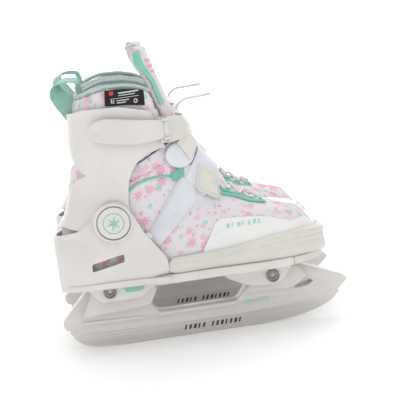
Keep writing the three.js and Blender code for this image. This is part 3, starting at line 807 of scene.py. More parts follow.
looks = {
    "shell": mouldedPlastic("shellPlastic", (224, 221, 217), (215, 212, 208), rough=0.34, bump=0.06),
    "lever": mouldedPlastic("leverPlastic", (219, 216, 212), (208, 205, 201), rough=0.3, bump=0.05, coat=0.1),
    "holder": mouldedPlastic("holderPlastic", (219, 216, 212), (208, 205, 201), rough=0.32, bump=0.06),
    "cream": mouldedPlastic("bumperRubber", (218, 216, 209), (208, 205, 198), rough=0.5, grain=1600.0,
                            bump=0.14),
    "rand": mouldedPlastic("randCoating", (236, 236, 234), (227, 227, 225), rough=0.42, grain=1800.0,
                           bump=0.08),
    "button": mouldedPlastic("mintButton", (146, 202, 182), (130, 190, 168), rough=0.36, bump=0.08),
    "mintInk": mouldedPlastic("mintInk", (164, 214, 200), (150, 204, 188), rough=0.4, bump=0.05),
    "cloth": printedCloth(),
    "tongueFace": wovenWebbing("tongueFace", (226, 220, 215), threads=18.0, bump=0.25),
    "lining": wovenWebbing("mintLining", (168, 208, 196), threads=20.0, sheen=0.5, bump=0.3),
    "binding": wovenWebbing("greyBinding", (192, 206, 202), threads=14.0, bump=0.3),
    "pullWebbing": wovenWebbing("pullWebbing", (160, 204, 191), threads=16.0, bump=0.4, uv=True),
    "facing": wovenWebbing("mintFacing", (122, 202, 178), threads=11.0, bump=0.6),
    "piping": wovenWebbing("mintPiping", (140, 208, 190), threads=14.0, bump=0.5),
    "strapWeb": wovenWebbing("creamStrap", (228, 226, 217), threads=15.0, bump=0.3),
    "strap": smoothStrap("smoothStrap", (222, 224, 231)),
    "pad": smoothStrap("anklePad", (224, 227, 232), rough=0.6),
    "steel": groundSteel("groundSteel", (222, 220, 215), 0.42),
    "zinc": groundSteel("zincBolt", (160, 160, 157), 0.36, lines=False),
    "etch": mouldedPlastic("etchInk", (60, 58, 54), (48, 46, 44), rough=0.6),
    "label": wovenWebbing("blackLabel", (34, 32, 32), threads=24.0, sheen=0.05, bump=0.2),
    "labelInk": mouldedPlastic("labelInk", (214, 214, 214), (196, 196, 196), rough=0.6),
    "redInk": mouldedPlastic("redInk", (205, 60, 62), (190, 50, 54), rough=0.6),
    "pinkInk": mouldedPlastic("pinkInk", (234, 160, 180), (226, 146, 168), rough=0.6),
    "lace": braidedCord("laceBraid", (232, 232, 229)),
    "thread": braidedCord("seamThread", (214, 212, 206)),
}
print("materials ready")

# free lace ends first: where each leaves the shoe, and its route (X, Y, Z)
laceEnd = {
    "route": [(-4.2, -9, 219), (-1, -10, 224), (5, -9, 227.5), (13, -7.5, 228), (22, -6, 228.4),
              (30, -5, 229)],
    "diameter": 2.6,
    "tip": 7.0,
}
route = [curvedAt(laceEnd["route"], k / 20) for k in range(21)]
routeLength = sum((b - a).length for a, b in zip(route, route[1:]))
finish("lace_tail", tubeMesh(laceEnd["route"], laceEnd["diameter"] / 2, sides=12, steps=60), "cuff_body",
       looks["lace"], "lace_cord", replaces=["lace_end"],
       uv=lambda p: (p.x * 0.1, math.atan2(p.y + 8, p.z - 227) * 0.13))
tipWay = (route[-1] - route[-2]).normalized()
tipShape = tubeMesh([route[-1] - tipWay * (laceEnd["tip"] - 0.6), route[-1] - tipWay * 3,
                     route[-1] + tipWay * 0.3],
                    lambda v: 1.42 if v < 0.9 else 1.2, sides=14, steps=14, curved=False)
finish("lace_tip", tipShape, "cuff_body", looks["cream"], "lace_cord")
for side in ("right", "left"):
    path = [local(p, side) for p in route]
    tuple(path[0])
print("lace ends made")

# blade: runner, holder and bolts
runner = {
    "edge": [(129.8, 21.5), (125.5, 16.6), (119, 12), (108, 7.4), (94, 3.8), (77, 1.4), (52, 0), (-75, 0),
             (-92, 0.4), (-110, 1.6), (-121, 4.6), (-128.5, 10), (-133, 18)],
    "top": [(-132.6, 25), (-94.4, 20), (-57, 19), (-28, 18.6), (35, 18.6), (70, 20.6), (102.4, 24),
            (127, 28)],
    "half": 1.5,
}
finish("runner_blade", flatShape(runner["top"] + runner["edge"], -runner["half"], runner["half"], 0.2),
       "boot_body", looks["steel"], "runner_steel", replaces=["runner"])

bars = []
for k in range(13):  # plain slanted bars etched on both faces
    if k == 5:
        continue
    x = -24 + k * 4.4
    width = 1.7 + (k * 7 % 3) * 0.45
    outline = [(x, 5.2), (x + width, 5.2), (x + width + 1.6, 9.6), (x + 1.6, 9.6)]
    for low in (-runner["half"] - 0.12, runner["half"] - 0.1):
        bars.append(flatShape(outline, low, low + 0.22, 0.02))
finish("runner_bars", joined(*bars), "boot_body", looks["etch"], "runner_steel")

holder = {
    "foot": [(-137.2, 21.5), (-94.4, 15.1), (-57, 14), (-28, 13.6), (35, 13.6), (70, 15.6), (102.4, 19),
             (129.8, 24)],
    "top": [(138.8, 34.4), (132.9, 39.5), (110.4, 48.2), (90.5, 55.5), (78, 57.5), (52, 57.5), (42, 43),
            (29.5, 28.2), (-46.9, 28.2), (-53, 38.2), (-44, 54.7), (-52, 63), (-106.2, 63), (-107, 59.5),
            (-114, 56), (-138.8, 30.6)],
    "window": [(85.4, 32.2), (97, 41.9), (105.5, 36.9), (100, 33.4)],
    "rearTower": [(-110, 52), (-106, 62.6), (-52, 62.6), (-44, 54.7), (-53, 38.2), (-120, 34)],
    "frontTower": [(42, 43), (52, 57.5), (78, 57.5), (90.5, 55.5), (100, 44), (84, 34), (36, 36)],
    "half": 8.8,
}


def grownOutline(outline, by):
    middle = sum((Vector((a, b)) for a, b in outline), Vector((0, 0))) / len(outline)
    return [tuple(Vector(p) + (Vector(p) - middle).normalized() * by) for p in outline]


rail = flatShape(rounded(holder["foot"] + holder["top"], 4.0), -holder["half"], holder["half"], 1.4,
                 holes=[rounded(holder["window"], 2.0)])
for vert in rail.verts:  # the rail narrows towards the blade
    edge = lineAt(holder["foot"], vert.co.x)
    vert.co.y *= 0.5 + 0.5 * step(edge - 1, edge + 11, vert.co.z)
towers = [flatShape(rounded(holder["rearTower"], 5.0), -17.8, 17.8, 2.0),
          flatShape(rounded(holder["frontTower"], 5.0), -14.8, 14.8, 2.0)]
windowRim = flatShape(rounded(grownOutline(holder["window"], 2.6), 3.0), -9.5, 9.5, 0.7,
                      holes=[rounded(grownOutline(holder["window"], -0.2), 2.0)])
# a long low rib on each side of the rail, under the arch
ribLines = (([(-46, 24.6), (28, 24.6), (33, 27.6), (-49, 27.6)], 1.2),
            ([(-118, 25.5), (-60, 24.2), (-58, 26.6), (-121, 29)], 1.0))
ribs = [flatShape(rounded(line, radius), low, low + 1.0, 0.4)
        for low in (-9.3, 8.3) for line, radius in ribLines]
finish("holder", joined(rail, *towers, windowRim, *ribs), "boot_body", looks["holder"], "shell_plastic",
       replaces=["blade_holder"])

dashes = []
for low in (-9.15, 8.95):
    for k, width in enumerate((5.0, 2.2, 2.6, 4.6)):
        x = 36 + k * 6.2
        dashes.append(flatShape(rounded([(x, 23.6), (x + width, 24), (x + width + 0.8, 27.6),
                                         (x + 0.8, 27.2)], 0.6),
                                low, low + 0.3, 0.05))
finish("holder_marks", joined(*dashes), "boot_body", looks["mintInk"], "mint_plastic")

# bolts: X, Z and the seat's distance from the middle
bolts = {"rear": (-89.5, 58.7, 26.4), "front": (65.5, 51.0, 23.4)}
for name, (x, z, seat) in bolts.items():
    profile = [(0, -1.0), (1.9, -1.0), (2.3, 1.5), (2.7, 1.9), (3.9, 2.1), (4.2, 1.5), (4.7, 1.5),
               (5.1, 2.4), (5.6, 2.6), (6.1, 2.3), (6.3, 1.4), (6.3, -1.2), (0, -1.6)]
    heads = mirrored(turned(profile, (x, -seat, z), "-Y", 48))
    shank = turned([(0, -20), (3.4, -20), (3.4, 20), (0, 20)], (x, 0, z), "Y", 24)
    finish(name + "_through_bolt", joined(heads, shank), "boot_body", looks["zinc"], "zinc_steel",
           replaces=[name + "_bolt"])
print("blade made")

# chassis: heel cup, sole plate, cheeks and pivot rings
chassis = {
    "rim": [(-150, 113), (-133, 116), (-112, 120), (-99, 128), (-90, 139), (-83, 144.5), (-77, 146),
            (-70, 144.5), (-63, 139), (-58, 130), (-50, 112), (-40, 98), (-32.4, 87), (-31.4, 74.2),
            (-26, 70), (-16, 65), (-4, 62.4)],
    "outer": 8.0, "wall": 2.8, "floor": 62.0,
    "slot": [(-102.4, 81), (-71.7, 87.3), (-71.6, 94.9), (-102.3, 88.6)],
    "rearCheek": [(-112, 69), (-110.5, 64), (-100.2, 48.5), (-60.7, 48), (-44.6, 59.5), (-38, 69)],
    "frontCheek": [(14, 66), (20.7, 54.2), (42, 43.6), (60, 41.5), (72, 42.6), (79, 50), (85, 59), (92, 66)],
    "button": [(-77.5, 66.9), (-53.2, 66.9), (-58.5, 56), (-74.5, 56)],
}
pivot = {"x": -77.0, "z": 126.0, "cap": 15.0, "seat": 42.1, "height": 2.6, "ring": 18.5}


def heelCup():
    def wallAt(s, z):
        # it comes in towards the bumper at the front
        outer, inner = heelPoint(s, max(z, 67), chassis["outer"]), heelPoint(s, max(z, 69), 4.6)
        spot = outer.lerp(inner, step(-52, -26, outer.x))
        spot.z = z
        return spot

    def place(u, v):
        s = 2 * u - 1
        high = lineAt(chassis["rim"], wallAt(s, 84).x)
        for _ in range(4):  # the rim's height follows where the wall is
            high = lineAt(chassis["rim"], wallAt(s, high).x)
        low = min(chassis["floor"], high - 0.6)
        spot = wallAt(s, low + (high - low) * v)
        tuck = 2.2 * (1 - step(0.0, 0.09, v))
        spot.y -= math.copysign(min(tuck, abs(spot.y)), spot.y)
        return spot

    return facing(gridMesh(190, 28, place), Vector((-75, 0, 100)))


cup = bmesh.new()
cup.from_mesh(settled(heelCup(), thick=chassis["wall"], offset=-1, bevel=0.7, segments=2, sharp=60,
                      even=False))


def soleShape(fromX, toX, grow, low, high, bevel=1.6):
    outline = []
    steps = 40
    for k in range(steps + 1):
        x = fromX + (toX - fromX) * 0.5 * (1 - math.cos(math.pi * k / steps))
        found = touch(form("foot", grow), Vector((x, 0, 80)), Vector((0, -1, 0)))
        outline.append((x, found.y if found else 0.0))
    outline = outline + [(x, -y) for x, y in reversed(outline) if abs(y) > 0.01]
    return flatShape(outline, low, high, bevel, along="Z")


solePlate = soleShape(-132, 92, 1.2, 61.2, 69.5)
heelFlat = soleShape(-134, -31.4, 6.6, 62.6, 69.0, 2.0)
cheekThick = 7.8
cheeks = [flatShape(rounded(chassis[name], 6.0), low, low + cheekThick, 2.2)
          for name, lows in (("rearCheek", (18.2, -26.0)), ("frontCheek", (15.2, -23.0))) for low in lows]
ringProfile = [(pivot["cap"] + 1.0, -3.0), (pivot["cap"] + 1.0, 1.2), (pivot["cap"] + 1.5, 1.7), (17.2, 1.9),
               (18.0, 1.5), (pivot["ring"], 0.4), (pivot["ring"] + 0.4, -1.2), (pivot["ring"] + 0.4, -3.0)]
rings = mirrored(turned(ringProfile, (pivot["x"], -pivot["seat"], pivot["z"]), "-Y", 64))
cupMesh = settled(joined(cup, solePlate, heelFlat, *cheeks, rings))
cupBm = bmesh.new()
cupBm.from_mesh(cupMesh)


def cutThrough(bm, outline, low, high):
    # takes an outline out of a mesh, from one Y to another
    body = bpy.data.meshes.new("body")
    bm.to_mesh(body)
    bm.free()
    tool = bpy.data.meshes.new("tool")
    cutter = flatShape(rounded(outline, 2.0), low, high, 0.05)
    cutter.to_mesh(tool)
    cutter.free()
    first, second = bpy.data.objects.new("body", body), bpy.data.objects.new("tool", tool)
    for obj in (first, second):
        bpy.context.collection.objects.link(obj)
    modifier = first.modifiers.new("cut", "BOOLEAN")
    modifier.operation, modifier.solver, modifier.object = "DIFFERENCE", "EXACT", second
    made = bpy.data.meshes.new_from_object(first.evaluated_get(bpy.context.evaluated_depsgraph_get()))
    for obj in (first, second):
        bpy.data.objects.remove(obj)
    bm = bmesh.new()
    bm.from_mesh(made)
    return bm


finish("heel_chassis", cutThrough(cupBm, chassis["slot"], -80, 80), "boot_body", looks["shell"],
       "shell_plastic", replaces=["chassis"], sharp=30)

capProfile = [(0, pivot["height"]), (9, 2.5), (13.2, 2.3), (14.4, 1.8), (pivot["cap"], 0.9),
              (pivot["cap"], -0.4), (5, -0.4), (4, -1.0), (4, -9), (0, -9)]
for name, way, sign in (("outer", "-Y", -1), ("inner", "Y", 1)):
    finish("pivot_cap_" + name, turned(capProfile, (pivot["x"], sign * pivot["seat"], pivot["z"]), way, 64),
           "boot_body", looks["shell"], "shell_plastic", replaces=["pivot_" + name])


def snowStar(x, z, size, low, high):
    # a plain six-armed snow star
    arms, turn = 6, 0.3
    outline = []
    for k in range(arms * 4):
        angle = turn + 2 * math.pi * k / (arms * 4)
        reach = size * (1.0, 0.42, 0.2, 0.42)[k % 4]
        outline.append((x + reach * math.cos(angle), z + reach * math.sin(angle)))
    return flatShape(rounded(outline, 0.7), low, high, 0.08)


front = pivot["seat"] + pivot["height"]
stars = [snowStar(pivot["x"], pivot["z"], 7.4, -front - 0.25, -front + 0.5),
         snowStar(pivot["x"], pivot["z"], 7.4, front - 0.5, front + 0.25)]
rim, hole = [[(pivot["x"] + radius * math.cos(a / 24 * math.pi),
               pivot["z"] + radius * math.sin(a / 24 * math.pi))
              for a in range(48)] for radius in (10.0, 9.1)]
frames = [flatShape(rim, low, low + 0.55, 0.08, holes=[hole]) for low in (-front - 0.2, front - 0.35)]
finish("pivot_stars", joined(*stars, *frames), "boot_body", looks["button"], "mint_plastic")

buttonFace = -27.5
button = [flatShape(rounded(chassis["button"], 2.0), buttonFace, buttonFace + 2.6, 0.5)]
for k in range(3):
    x = -70.5 + k * 4.6
    button.append(flatShape(rounded([(x, 58.5), (x + 1.5, 58.5), (x + 1.5, 64.5), (x, 64.5)], 0.5),
                            buttonFace - 0.5, buttonFace + 0.6, 0.25))
finish("release_button", joined(*button), "button_body", looks["button"], "mint_plastic",
       replaces=["size_button"])
print("chassis made")

# soft upper: foot and ankle in one printed cloth shell, from heel to toe
upper = {"voxel": 2.6, "wall": 4.0, "rearTop": (-112, 140), "frontTop": (0, 181)}


def upperCloth():
    bm = joined(tubeForm(footPoint, footRows, 0.0, 64, 70), tubeForm(shaftPoint, shaftRows, 0.0, 64, 60))
    mesh = settled(bm, remesh=upper["voxel"])
    bm = bmesh.new()
    bm.from_mesh(mesh)
    smoothed(bm, 7)
    (x0, z0), (x1, z1) = upper["rearTop"], upper["frontTop"]
    normal = Vector((-(z1 - z0), 0, x1 - x0)).normalized()
    bmesh.ops.bisect_plane(bm, geom=bm.verts[:] + bm.edges[:] + bm.faces[:], plane_co=(x0, 0, z0),
                           plane_no=normal, clear_outer=True)
    bmesh.ops.recalc_face_normals(bm, faces=bm.faces)
    return facing(bm, Vector((0, 0, 100)))


def clothMap(p):
    # centimetres along the shoe, and down from the instep on each side
    ridge = 150 - abs(p.x - 14) * 0.35
    return (p.x * 0.1 + 0.15 * math.sin(p.z * 0.05),
            math.copysign((ridge - p.z + 0.8 * abs(p.y)) * 0.1, p.y) + 7)


finish("upper_cloth", upperCloth(), "boot_body", looks["cloth"], "printed_fabric",
       replaces=["quarter", "toe_upper"], thick=upper["wall"], offset=-1, uv=clothMap, sharp=60,
       blend=("boot_body", "toe_body", (12, 0, 100), (44, 0, 100)))
print("upper made")

# toe rand, toe cap and bumper
toe = {
    "randTop": [(-10, 84), (0.2, 85.3), (9.7, 100), (17, 112.5), (22, 115), (34, 114.5), (46, 113.2),
                (67.5, 110), (78, 106), (87, 103), (98.8, 104), (104, 101), (112, 94)],
    "bumperTop": [(-31, 75), (-28, 83.5), (22, 86.2), (66, 92.8), (98, 93.6), (118, 91.0)],
    "bumperLow": [(-31, 74), (-26, 70.5), (-16, 65.5), (-4, 62.6), (8, 62), (118, 62)],
}


def roundToe(lowLine, highLine, grow, rows, columns=120, push=None, rearEnd=-31.0):
    # a band round the toe between two (x, z) lines
    def place(u, v):
        s = 2 * u - 1
        spot, way = fanPoint(s, 84, grow, rearEnd)
        for _ in range(5):  # the lines' heights follow where the toe is
            low, high = lineAt(lowLine, spot.x), lineAt(highLine, spot.x)
            spot, way = fanPoint(s, low + (high - low) * v, grow, rearEnd)
        if push:  # its top edge closes on the toe
            inner, _ = fanPoint(s, spot.z, 0.7, rearEnd)
            spot = spot.lerp(inner, step(0.9, 1.0, v))
            spot += way * push(v, spot)
        return spot

    return facing(gridMesh(columns, rows, place), Vector((30, 0, 90)))


finish("toe_rand", roundToe(toe["bumperTop"], toe["randTop"], 0.5, 14, rearEnd=2.0), "toe_body",
       looks["rand"], "cream_plastic", thick=0.8, offset=1, bevel=0.35, sharp=50)


def bumperPush(v, spot):
    # a lip at the top, two grooves below it and a soft roll at the bottom
    out = 0.7 * step(0.84, 0.89, v) - 0.8 * math.exp(-((v - 0.8) / 0.035) ** 2) - 0.7 * step(0.92, 1.0, v)
    forward = step(30, 80, spot.x)
    out -= 0.8 * forward * math.exp(-((v - 0.62) / 0.03) ** 2)
    out += 0.8 * forward * math.exp(-((v - 0.4) / 0.16) ** 2)
    return out - 2.6 * (1 - step(0.0, 0.16, v))


finish("toe_guard", roundToe(toe["bumperLow"], toe["bumperTop"], 3.6, 44, columns=150, push=bumperPush),
       "toe_body", looks["cream"], "cream_plastic", replaces=["toe_bumper"], thick=2.4, offset=-1, bevel=0.5,
       sharp=70, even=False)
finish("toe_guard_floor", soleShape(86, 117, 2.4, 62.0, 69.0, 1.4), "toe_body", looks["cream"],
       "cream_plastic")


def toeCap():
    # the coated cap on top of the toes
    def place(u, v):
        half = 7 + 13 * math.sqrt(min(v * 3, 1.0)) + 12 * step(0.5, 1.0, v)
        return overPoint(72 + 35 * v, (2 * u - 1) * half, 0.4, height=80, tilt=0.4 * v)

    return facing(gridMesh(30, 26, place), Vector((60, 0, 80)))


finish("toe_cap", toeCap(), "toe_body", looks["rand"], "cream_plastic", thick=0.9, offset=1, bevel=0.35,
       sharp=50)
print("toe made")

# insole
finish("foot_bed", soleShape(-118, 102, -7.5, 78.0, 80.6, 1.0), "boot_body", looks["lining"],
       "lining_fabric", replaces=["insole"])

# cuff
cuff = {
    "low": [(-150, 122.5), (-118, 124), (-96, 117), (-89, 110.5), (-77, 107), (-60, 107), (60, 107)],
    "opening": [(-61.6, 100), (-60.6, 144.5), (-57.8, 161), (-53.4, 171), (-47, 179), (-38, 185),
                (-27, 188.2), (60, 191)],
    "high": [(-150, 221), (-106, 227), (-88.4, 231.9), (-58.5, 231.8), (-33.5, 224.3), (-13, 214), (60, 213)],
    "outer": 4.4, "wall": 2.6, "from": 62.0, "to": 298.0,
    "notch": {"half": 27.0, "widest": 171.0, "top": 208.0, "bottom": 155.0, "before": -84.0},
    "fold": ((-88.0, 207.0), (-64.0, 154.0)),
}


def cuffSwell(angle, z, v):
    # the front half of the side stands slightly proud of a slanting fold, and both rims flare
    spot = shaftPoint(0, z, angle)
    (x0, z0), (x1, z1) = cuff["fold"]
    side = (spot.x - x0) * (z0 - z1) + (spot.z - z0) * (x1 - x0)
    proud = step(-0.4, 0.9, side / math.hypot(x1 - x0, z1 - z0)) * step(z1 - 6, z1 + 14,
                                                                        spot.z) * (1 - step(206, 216, spot.z))
    flare = 0.9 * step(0.93, 1.0, v) + 0.8 * (1 - step(0.0, 0.06, v)) * (1 if spot.x < -66 else 0)
    return cuff["outer"] + 0.9 * proud + flare


def splitFaces(bm, faces, at, normal):
    # cuts some of a mesh's faces along a plane
    parts = set(faces) | {edge for face in faces for edge in face.edges} | {vert for face in faces
                                                                            for vert in face.verts}
    bmesh.ops.bisect_plane(bm, geom=list(parts), plane_co=at, plane_no=normal)


def cuffShell():
    bm = shaftPanel(cuff["from"], cuff["to"], cuff["low"], cuff["high"], cuffSwell, columns=200, rows=60)
    notch = cuff["notch"]
    corners = [(0, notch["top"]), (notch["half"], notch["widest"]), (0, notch["bottom"]),
               (-notch["half"], notch["widest"])]
    for (y0, z0), (y1, z1) in zip(corners, corners[1:] + corners[:1]):
        rear = [face for face in bm.faces if face.calc_center_median().x < notch["before"]]
        splitFaces(bm, rear, (0, y0, z0), Vector((0, z1 - z0, -(y1 - y0))).normalized())
    inside = []
    for face in bm.faces:
        centre = face.calc_center_median()
        if centre.x < notch["before"]:
            reach = abs(notch["top" if centre.z > notch["widest"] else "bottom"] - notch["widest"])
            if abs(centre.y) / notch["half"] + abs(centre.z - notch["widest"]) / reach < 0.999:
                inside.append(face)
    bmesh.ops.delete(bm, geom=inside, context="FACES")
    # the opening at the front, its line bending one way only
    sides = []
    for (x0, z0), (x1, z1) in zip(cuff["opening"], cuff["opening"][1:]):
        normal = Vector((z1 - z0, 0, x0 - x1)).normalized()
        sides.append((Vector((x0, 0, z0)), normal))
        near = [face for face in bm.faces if face.calc_center_median().x > -72
                and face.calc_center_median().z < 196]
        splitFaces(bm, near, (x0, 0, z0), normal)
    gone = [f for f in bm.faces if all((f.calc_center_median() - at).dot(way) > 0 for at, way in sides)]
    bmesh.ops.delete(bm, geom=gone, context="FACES")
    bmesh.ops.remove_doubles(bm, verts=bm.verts, dist=0.25)
    return facing(bm, Vector((-50, 0, 170)))


finish("cuff_shell", cuffShell(), "cuff_body", looks["shell"], "shell_plastic", replaces=["cuff"],
       thick=cuff["wall"], offset=-1, bevel=0.6, sharp=60, even=False)

# collar: padded cloth round the leg, its lining and its binding
collar = {
    "low": [(-150, 142), (-112, 143.5), (-12, 190.5), (40, 205)],
    "high": [(-150, 234), (-112, 238), (-98, 243), (-84, 248), (-71, 250.6), (-50, 249.6), (-34, 246),
             (-22, 240), (-10, 232), (10, 226)],
    "from": 43.0, "to": 317.0, "thick": 7.0,
}


def shaftSheet(low, high, fromAngle, toAngle, grow):
    def point(u, v):
        angle = math.radians(fromAngle + (toAngle - fromAngle) * u)
        ends = [edgeHeight(line, angle) for line in (low, high)]
        return shaftPoint(grow, ends[0] + (ends[1] - ends[0]) * v, angle)
    return point


def puffed(bm, voxel, cap, pressure=4.0, frames=12):
    # swells a pad with cloth simulation, holding each point within `cap` of where it began
    mesh = settled(bm, remesh=voxel)
    mesh.transform(Matrix.Scale(mm, 4))
    start = [v.co.copy() for v in mesh.vertices]
    work = bpy.data.objects.new("pad", mesh)
    bpy.context.collection.objects.link(work)
    cloth = work.modifiers.new("cloth", "CLOTH")
    cloth.settings.use_pressure = True
    cloth.settings.uniform_pressure_force = pressure
    cloth.settings.effector_weights.gravity = 0
    cloth.settings.quality = 5
    cloth.settings.tension_stiffness = cloth.settings.compression_stiffness = 25
    cloth.point_cache.frame_start, cloth.point_cache.frame_end = 1, frames
    for number in range(1, frames + 1):
        bpy.context.scene.frame_set(number)
    blown = bpy.data.meshes.new_from_object(work.evaluated_get(bpy.context.evaluated_depsgraph_get()))
    bpy.context.scene.frame_set(1)
    bpy.data.objects.remove(work)
    for vert, first in zip(blown.vertices, start):
        move = vert.co - first
        if move.length > cap * mm:
            vert.co = first + move.normalized() * cap * mm
    blown.transform(Matrix.Scale(1 / mm, 4))
    made = bmesh.new()
    made.from_mesh(blown)
    return smoothed(made, 2)


def shaftMap(p):
    turn = math.atan2(p.y, -(p.x + 55))
    return (turn * 4.2 + 3, p.z * 0.1)


collarPoint = shaftSheet(collar["low"], collar["high"], collar["from"], collar["to"], -3.4)
collarBm = pillow(collarPoint, collar["thick"] - 1.6, 90, 26, rim=6)
finish("collar_pad", puffed(collarBm, 3.2, 1.6), "cuff_body", looks["cloth"], "printed_fabric",
       replaces=["collar"], uv=shaftMap, subdivide=1, sharp=80)

rimPoints = [collarPoint(k / 60, 0.995) + Vector((0, 0, 0.4)) for k in range(61)]
finish("collar_binding", tubeMesh(rimPoints, 1.9, sides=12, steps=160), "cuff_body", looks["binding"],
       "mint_webbing")
liningPoint = shaftSheet([(x, z + 2) for x, z in collar["low"]], [(x, z - 1.5) for x, z in collar["high"]],
                         collar["from"] + 2, collar["to"] - 2, -7.6)
finish("collar_lining", facing(gridMesh(90, 24, liningPoint), Vector((-50, 0, 170))), "cuff_body",
       looks["lining"], "lining_fabric", thick=1.0, offset=-1, bevel=0.3)

# a stretch gusset closes the gap between the upper and the collar
gusset = {"low": [(-150, 125), (-112, 139.2), (0, 180.2), (60, 202)],
          "high": [(-150, 143), (-112, 145.5), (-12, 192.5), (40, 207)]}
gussetPoint = shaftSheet(gusset["low"], gusset["high"], 0, 360, -1.0)
finish("ankle_gusset", facing(closed(gridMesh(120, 6, gussetPoint)), Vector((-40, 0, 170))), "cuff_body",
       looks["cloth"], "printed_fabric", thick=2.0, offset=-1, uv=shaftMap,
       blend=("boot_body", "cuff_body", (0, 0, 150), (0, 0, 200)))

# tongue: a padded flap with a mint band, seams and binding
tongue = {
    "low": [(-60, 168), (-12, 184), (10, 186), (40, 186)],
    "high": [(-70, 268), (-50, 274), (-43, 280), (-38, 282.6), (-33, 283), (-24, 282.6), (10, 280)],
    "half": 62.0, "thick": 7.5,
}
tonguePoint = shaftSheet(tongue["low"], tongue["high"], -tongue["half"], tongue["half"], -5.0)


def tongueShape(u, v):
    # it opens out where it clears the collar
    narrowed = 0.5 + (u - 0.5) * (0.66 + 0.34 * step(0.62, 0.86, v) - 0.08 * step(0.9, 1.0, v))
    return tonguePoint(narrowed, v)


def tongueFat(u, v):
    seams = sum(math.exp(-((u - at) / 0.018) ** 2) for at in (0.2, 0.8))
    return (tongue["thick"] - 1.2) * (1 - 0.25 * seams * step(0.1, 0.3, v))


def tongueMap(p):
    return (p.y * 0.1 + 20, p.z * 0.1 + 3)


finish("tongue_pad", puffed(pillow(tongueShape, tongueFat, 50, 60, rim=5), 2.8, 1.2), "cuff_body",
       looks["cloth"], "printed_fabric", replaces=["tongue"], uv=tongueMap, subdivide=1, sharp=80,
       blend=("boot_body", "cuff_body", (0, 0, 165), (0, 0, 205)))


def tongueStrip(fromShare, toShare, low, high, lift):
    def place(u, v):
        a = fromShare + (toShare - fromShare) * u
        b = low + (high - low) * v
        here = tongueShape(a, b)
        normal = (tongueShape(min(a + 0.01, 1), b) - tongueShape(a - 0.01, b)).cross(
            tongueShape(a, min(b + 0.01, 1)) - tongueShape(a, b - 0.01))
        if normal.x < 0:
            normal = -normal
        return here + normal.normalized() * (tongueFat(a, b) / 2 + lift)
    return facing(gridMesh(12, 50, place), Vector((-50, 0, 220)))


finish("tongue_face", tongueStrip(0.2, 0.8, 0.3, 0.965, 0.3), "cuff_body", looks["tongueFace"],
       "printed_fabric", thick=0.5, offset=1, bevel=0.2)
for label, (start, end) in {"outer": (0.04, 0.19), "inner": (0.81, 0.96)}.items():
    finish("tongue_band_" + label, tongueStrip(start, end, 0.42, 0.955, 0.35), "cuff_body", looks["piping"],
           "mint_webbing", thick=0.7, offset=1, bevel=0.25)
finish("tongue_marks",
       joined(*[tongueStrip(0.24, 0.62, 0.72 + k * 0.055, 0.745 + k * 0.055, 0.85) for k in range(3)]),
       "cuff_body", looks["pinkInk"], "printed_fabric", thick=0.25, offset=1)

# woven label with plain strokes
labelBox = {"low": [(-69.5, 233.6), (-51, 232.2), (-33.5, 229.4)],
            "high": [(-68.2, 247.8), (-50, 247.0), (-32.8, 243.4)]}
finish("collar_label", facing(sidePatch(labelBox["low"], labelBox["high"], 0.9, 24, 10, "shaft")),
       "cuff_body", looks["label"], "label_black", replaces=["label"], thick=0.9, offset=1, bevel=0.3)


def labelPatch(fromX, toX, fromZ, toZ):
    drop = -0.1 * ((fromX + toX) / 2 + 51) + 0.6  # the strokes follow the label's slope
    fromZ, toZ = fromZ + drop, toZ + drop
    return facing(sidePatch([(fromX, fromZ), ((fromX + toX) / 2, fromZ), (toX, fromZ)],
                            [(fromX, toZ), ((fromX + toX) / 2, toZ), (toX, toZ)], 1.85, 6, 3, "shaft"))


strokes = [labelPatch(-56, -37.5, 243.2, 244.4), labelPatch(-56, -41, 241.0, 241.7),
           labelPatch(-64, -37.5, 238.6, 239.0), labelPatch(-58.5, -47, 236.0, 236.8),
           labelPatch(-58.5, -50, 233.8, 234.6), labelPatch(-63.5, -62.4, 233.4, 236.8),
           labelPatch(-61.4, -60.7, 233.4, 236.8)]
finish("label_strokes", joined(*strokes), "cuff_body", looks["labelInk"], "label_black", thick=0.15, offset=1)
finish("label_block", labelPatch(-64.5, -60.5, 241.2, 244.6), "cuff_body", looks["redInk"], "label_black",
       thick=0.15, offset=1)
dotAt = sideOf(-41.2, 235.0, 1.95, "shaft")  # a small ring
finish("label_dot",
       turned([(1.1, 0.2), (2.0, 0.2), (2.0, -0.6), (1.1, -0.6), (1.1, 0.2)], tuple(dotAt), "-Y", 24),
       "cuff_body", looks["labelInk"], "label_black")

# pull loop: one folded ribbon
pull = {"path": [(-91, -3, 241), (-91.5, -3, 250), (-93, -2, 257), (-102, 0, 259), (-111.5, 1, 257),
                 (-113.5, 0, 250), (-109, -2, 241), (-103.5, -3, 232), (-99, -3, 225)], "width": 17.0}


def pullWidth(v):
    return 9.0 + (pull["width"] - 9.0) * step(0.2, 0.5, v)


def pullTurn(v):
    # its face turns towards the outer side on the long leg
    across = Vector((0.86, 0, 0.5)) if v < 0.5 else Vector((0.9, 0, 0.44))
    share = 0.35 + 0.4 * step(0.5, 0.8, v) + 0.2 * (1 - step(0.0, 0.25, v))
    return Vector((0, 1, 0)) * (1 - share) + across * share


pullMesh = settled(facing(ribbonMesh(pull["path"], pullWidth, pullTurn, 70, 10)), thick=1.1, offset=0,
                   bevel=0.25)
finish("pull_ribbon", pullMesh, "cuff_body", looks["pullWebbing"], "mint_webbing", replaces=["pull_loop"],
       uv=lambda p: (p.x * 0.07 + p.y * 0.07, p.z * 0.1))

# buckle: strap, base, pin and lever
buckle = {"strapLow": [(-60, 196), (-18, 195), (20, 193.5)],
          "strapHigh": [(-60, 213), (-18, 213.5), (20, 212)], "inner": 4.9, "pin": (-17.0, -42.4, 206.0)}


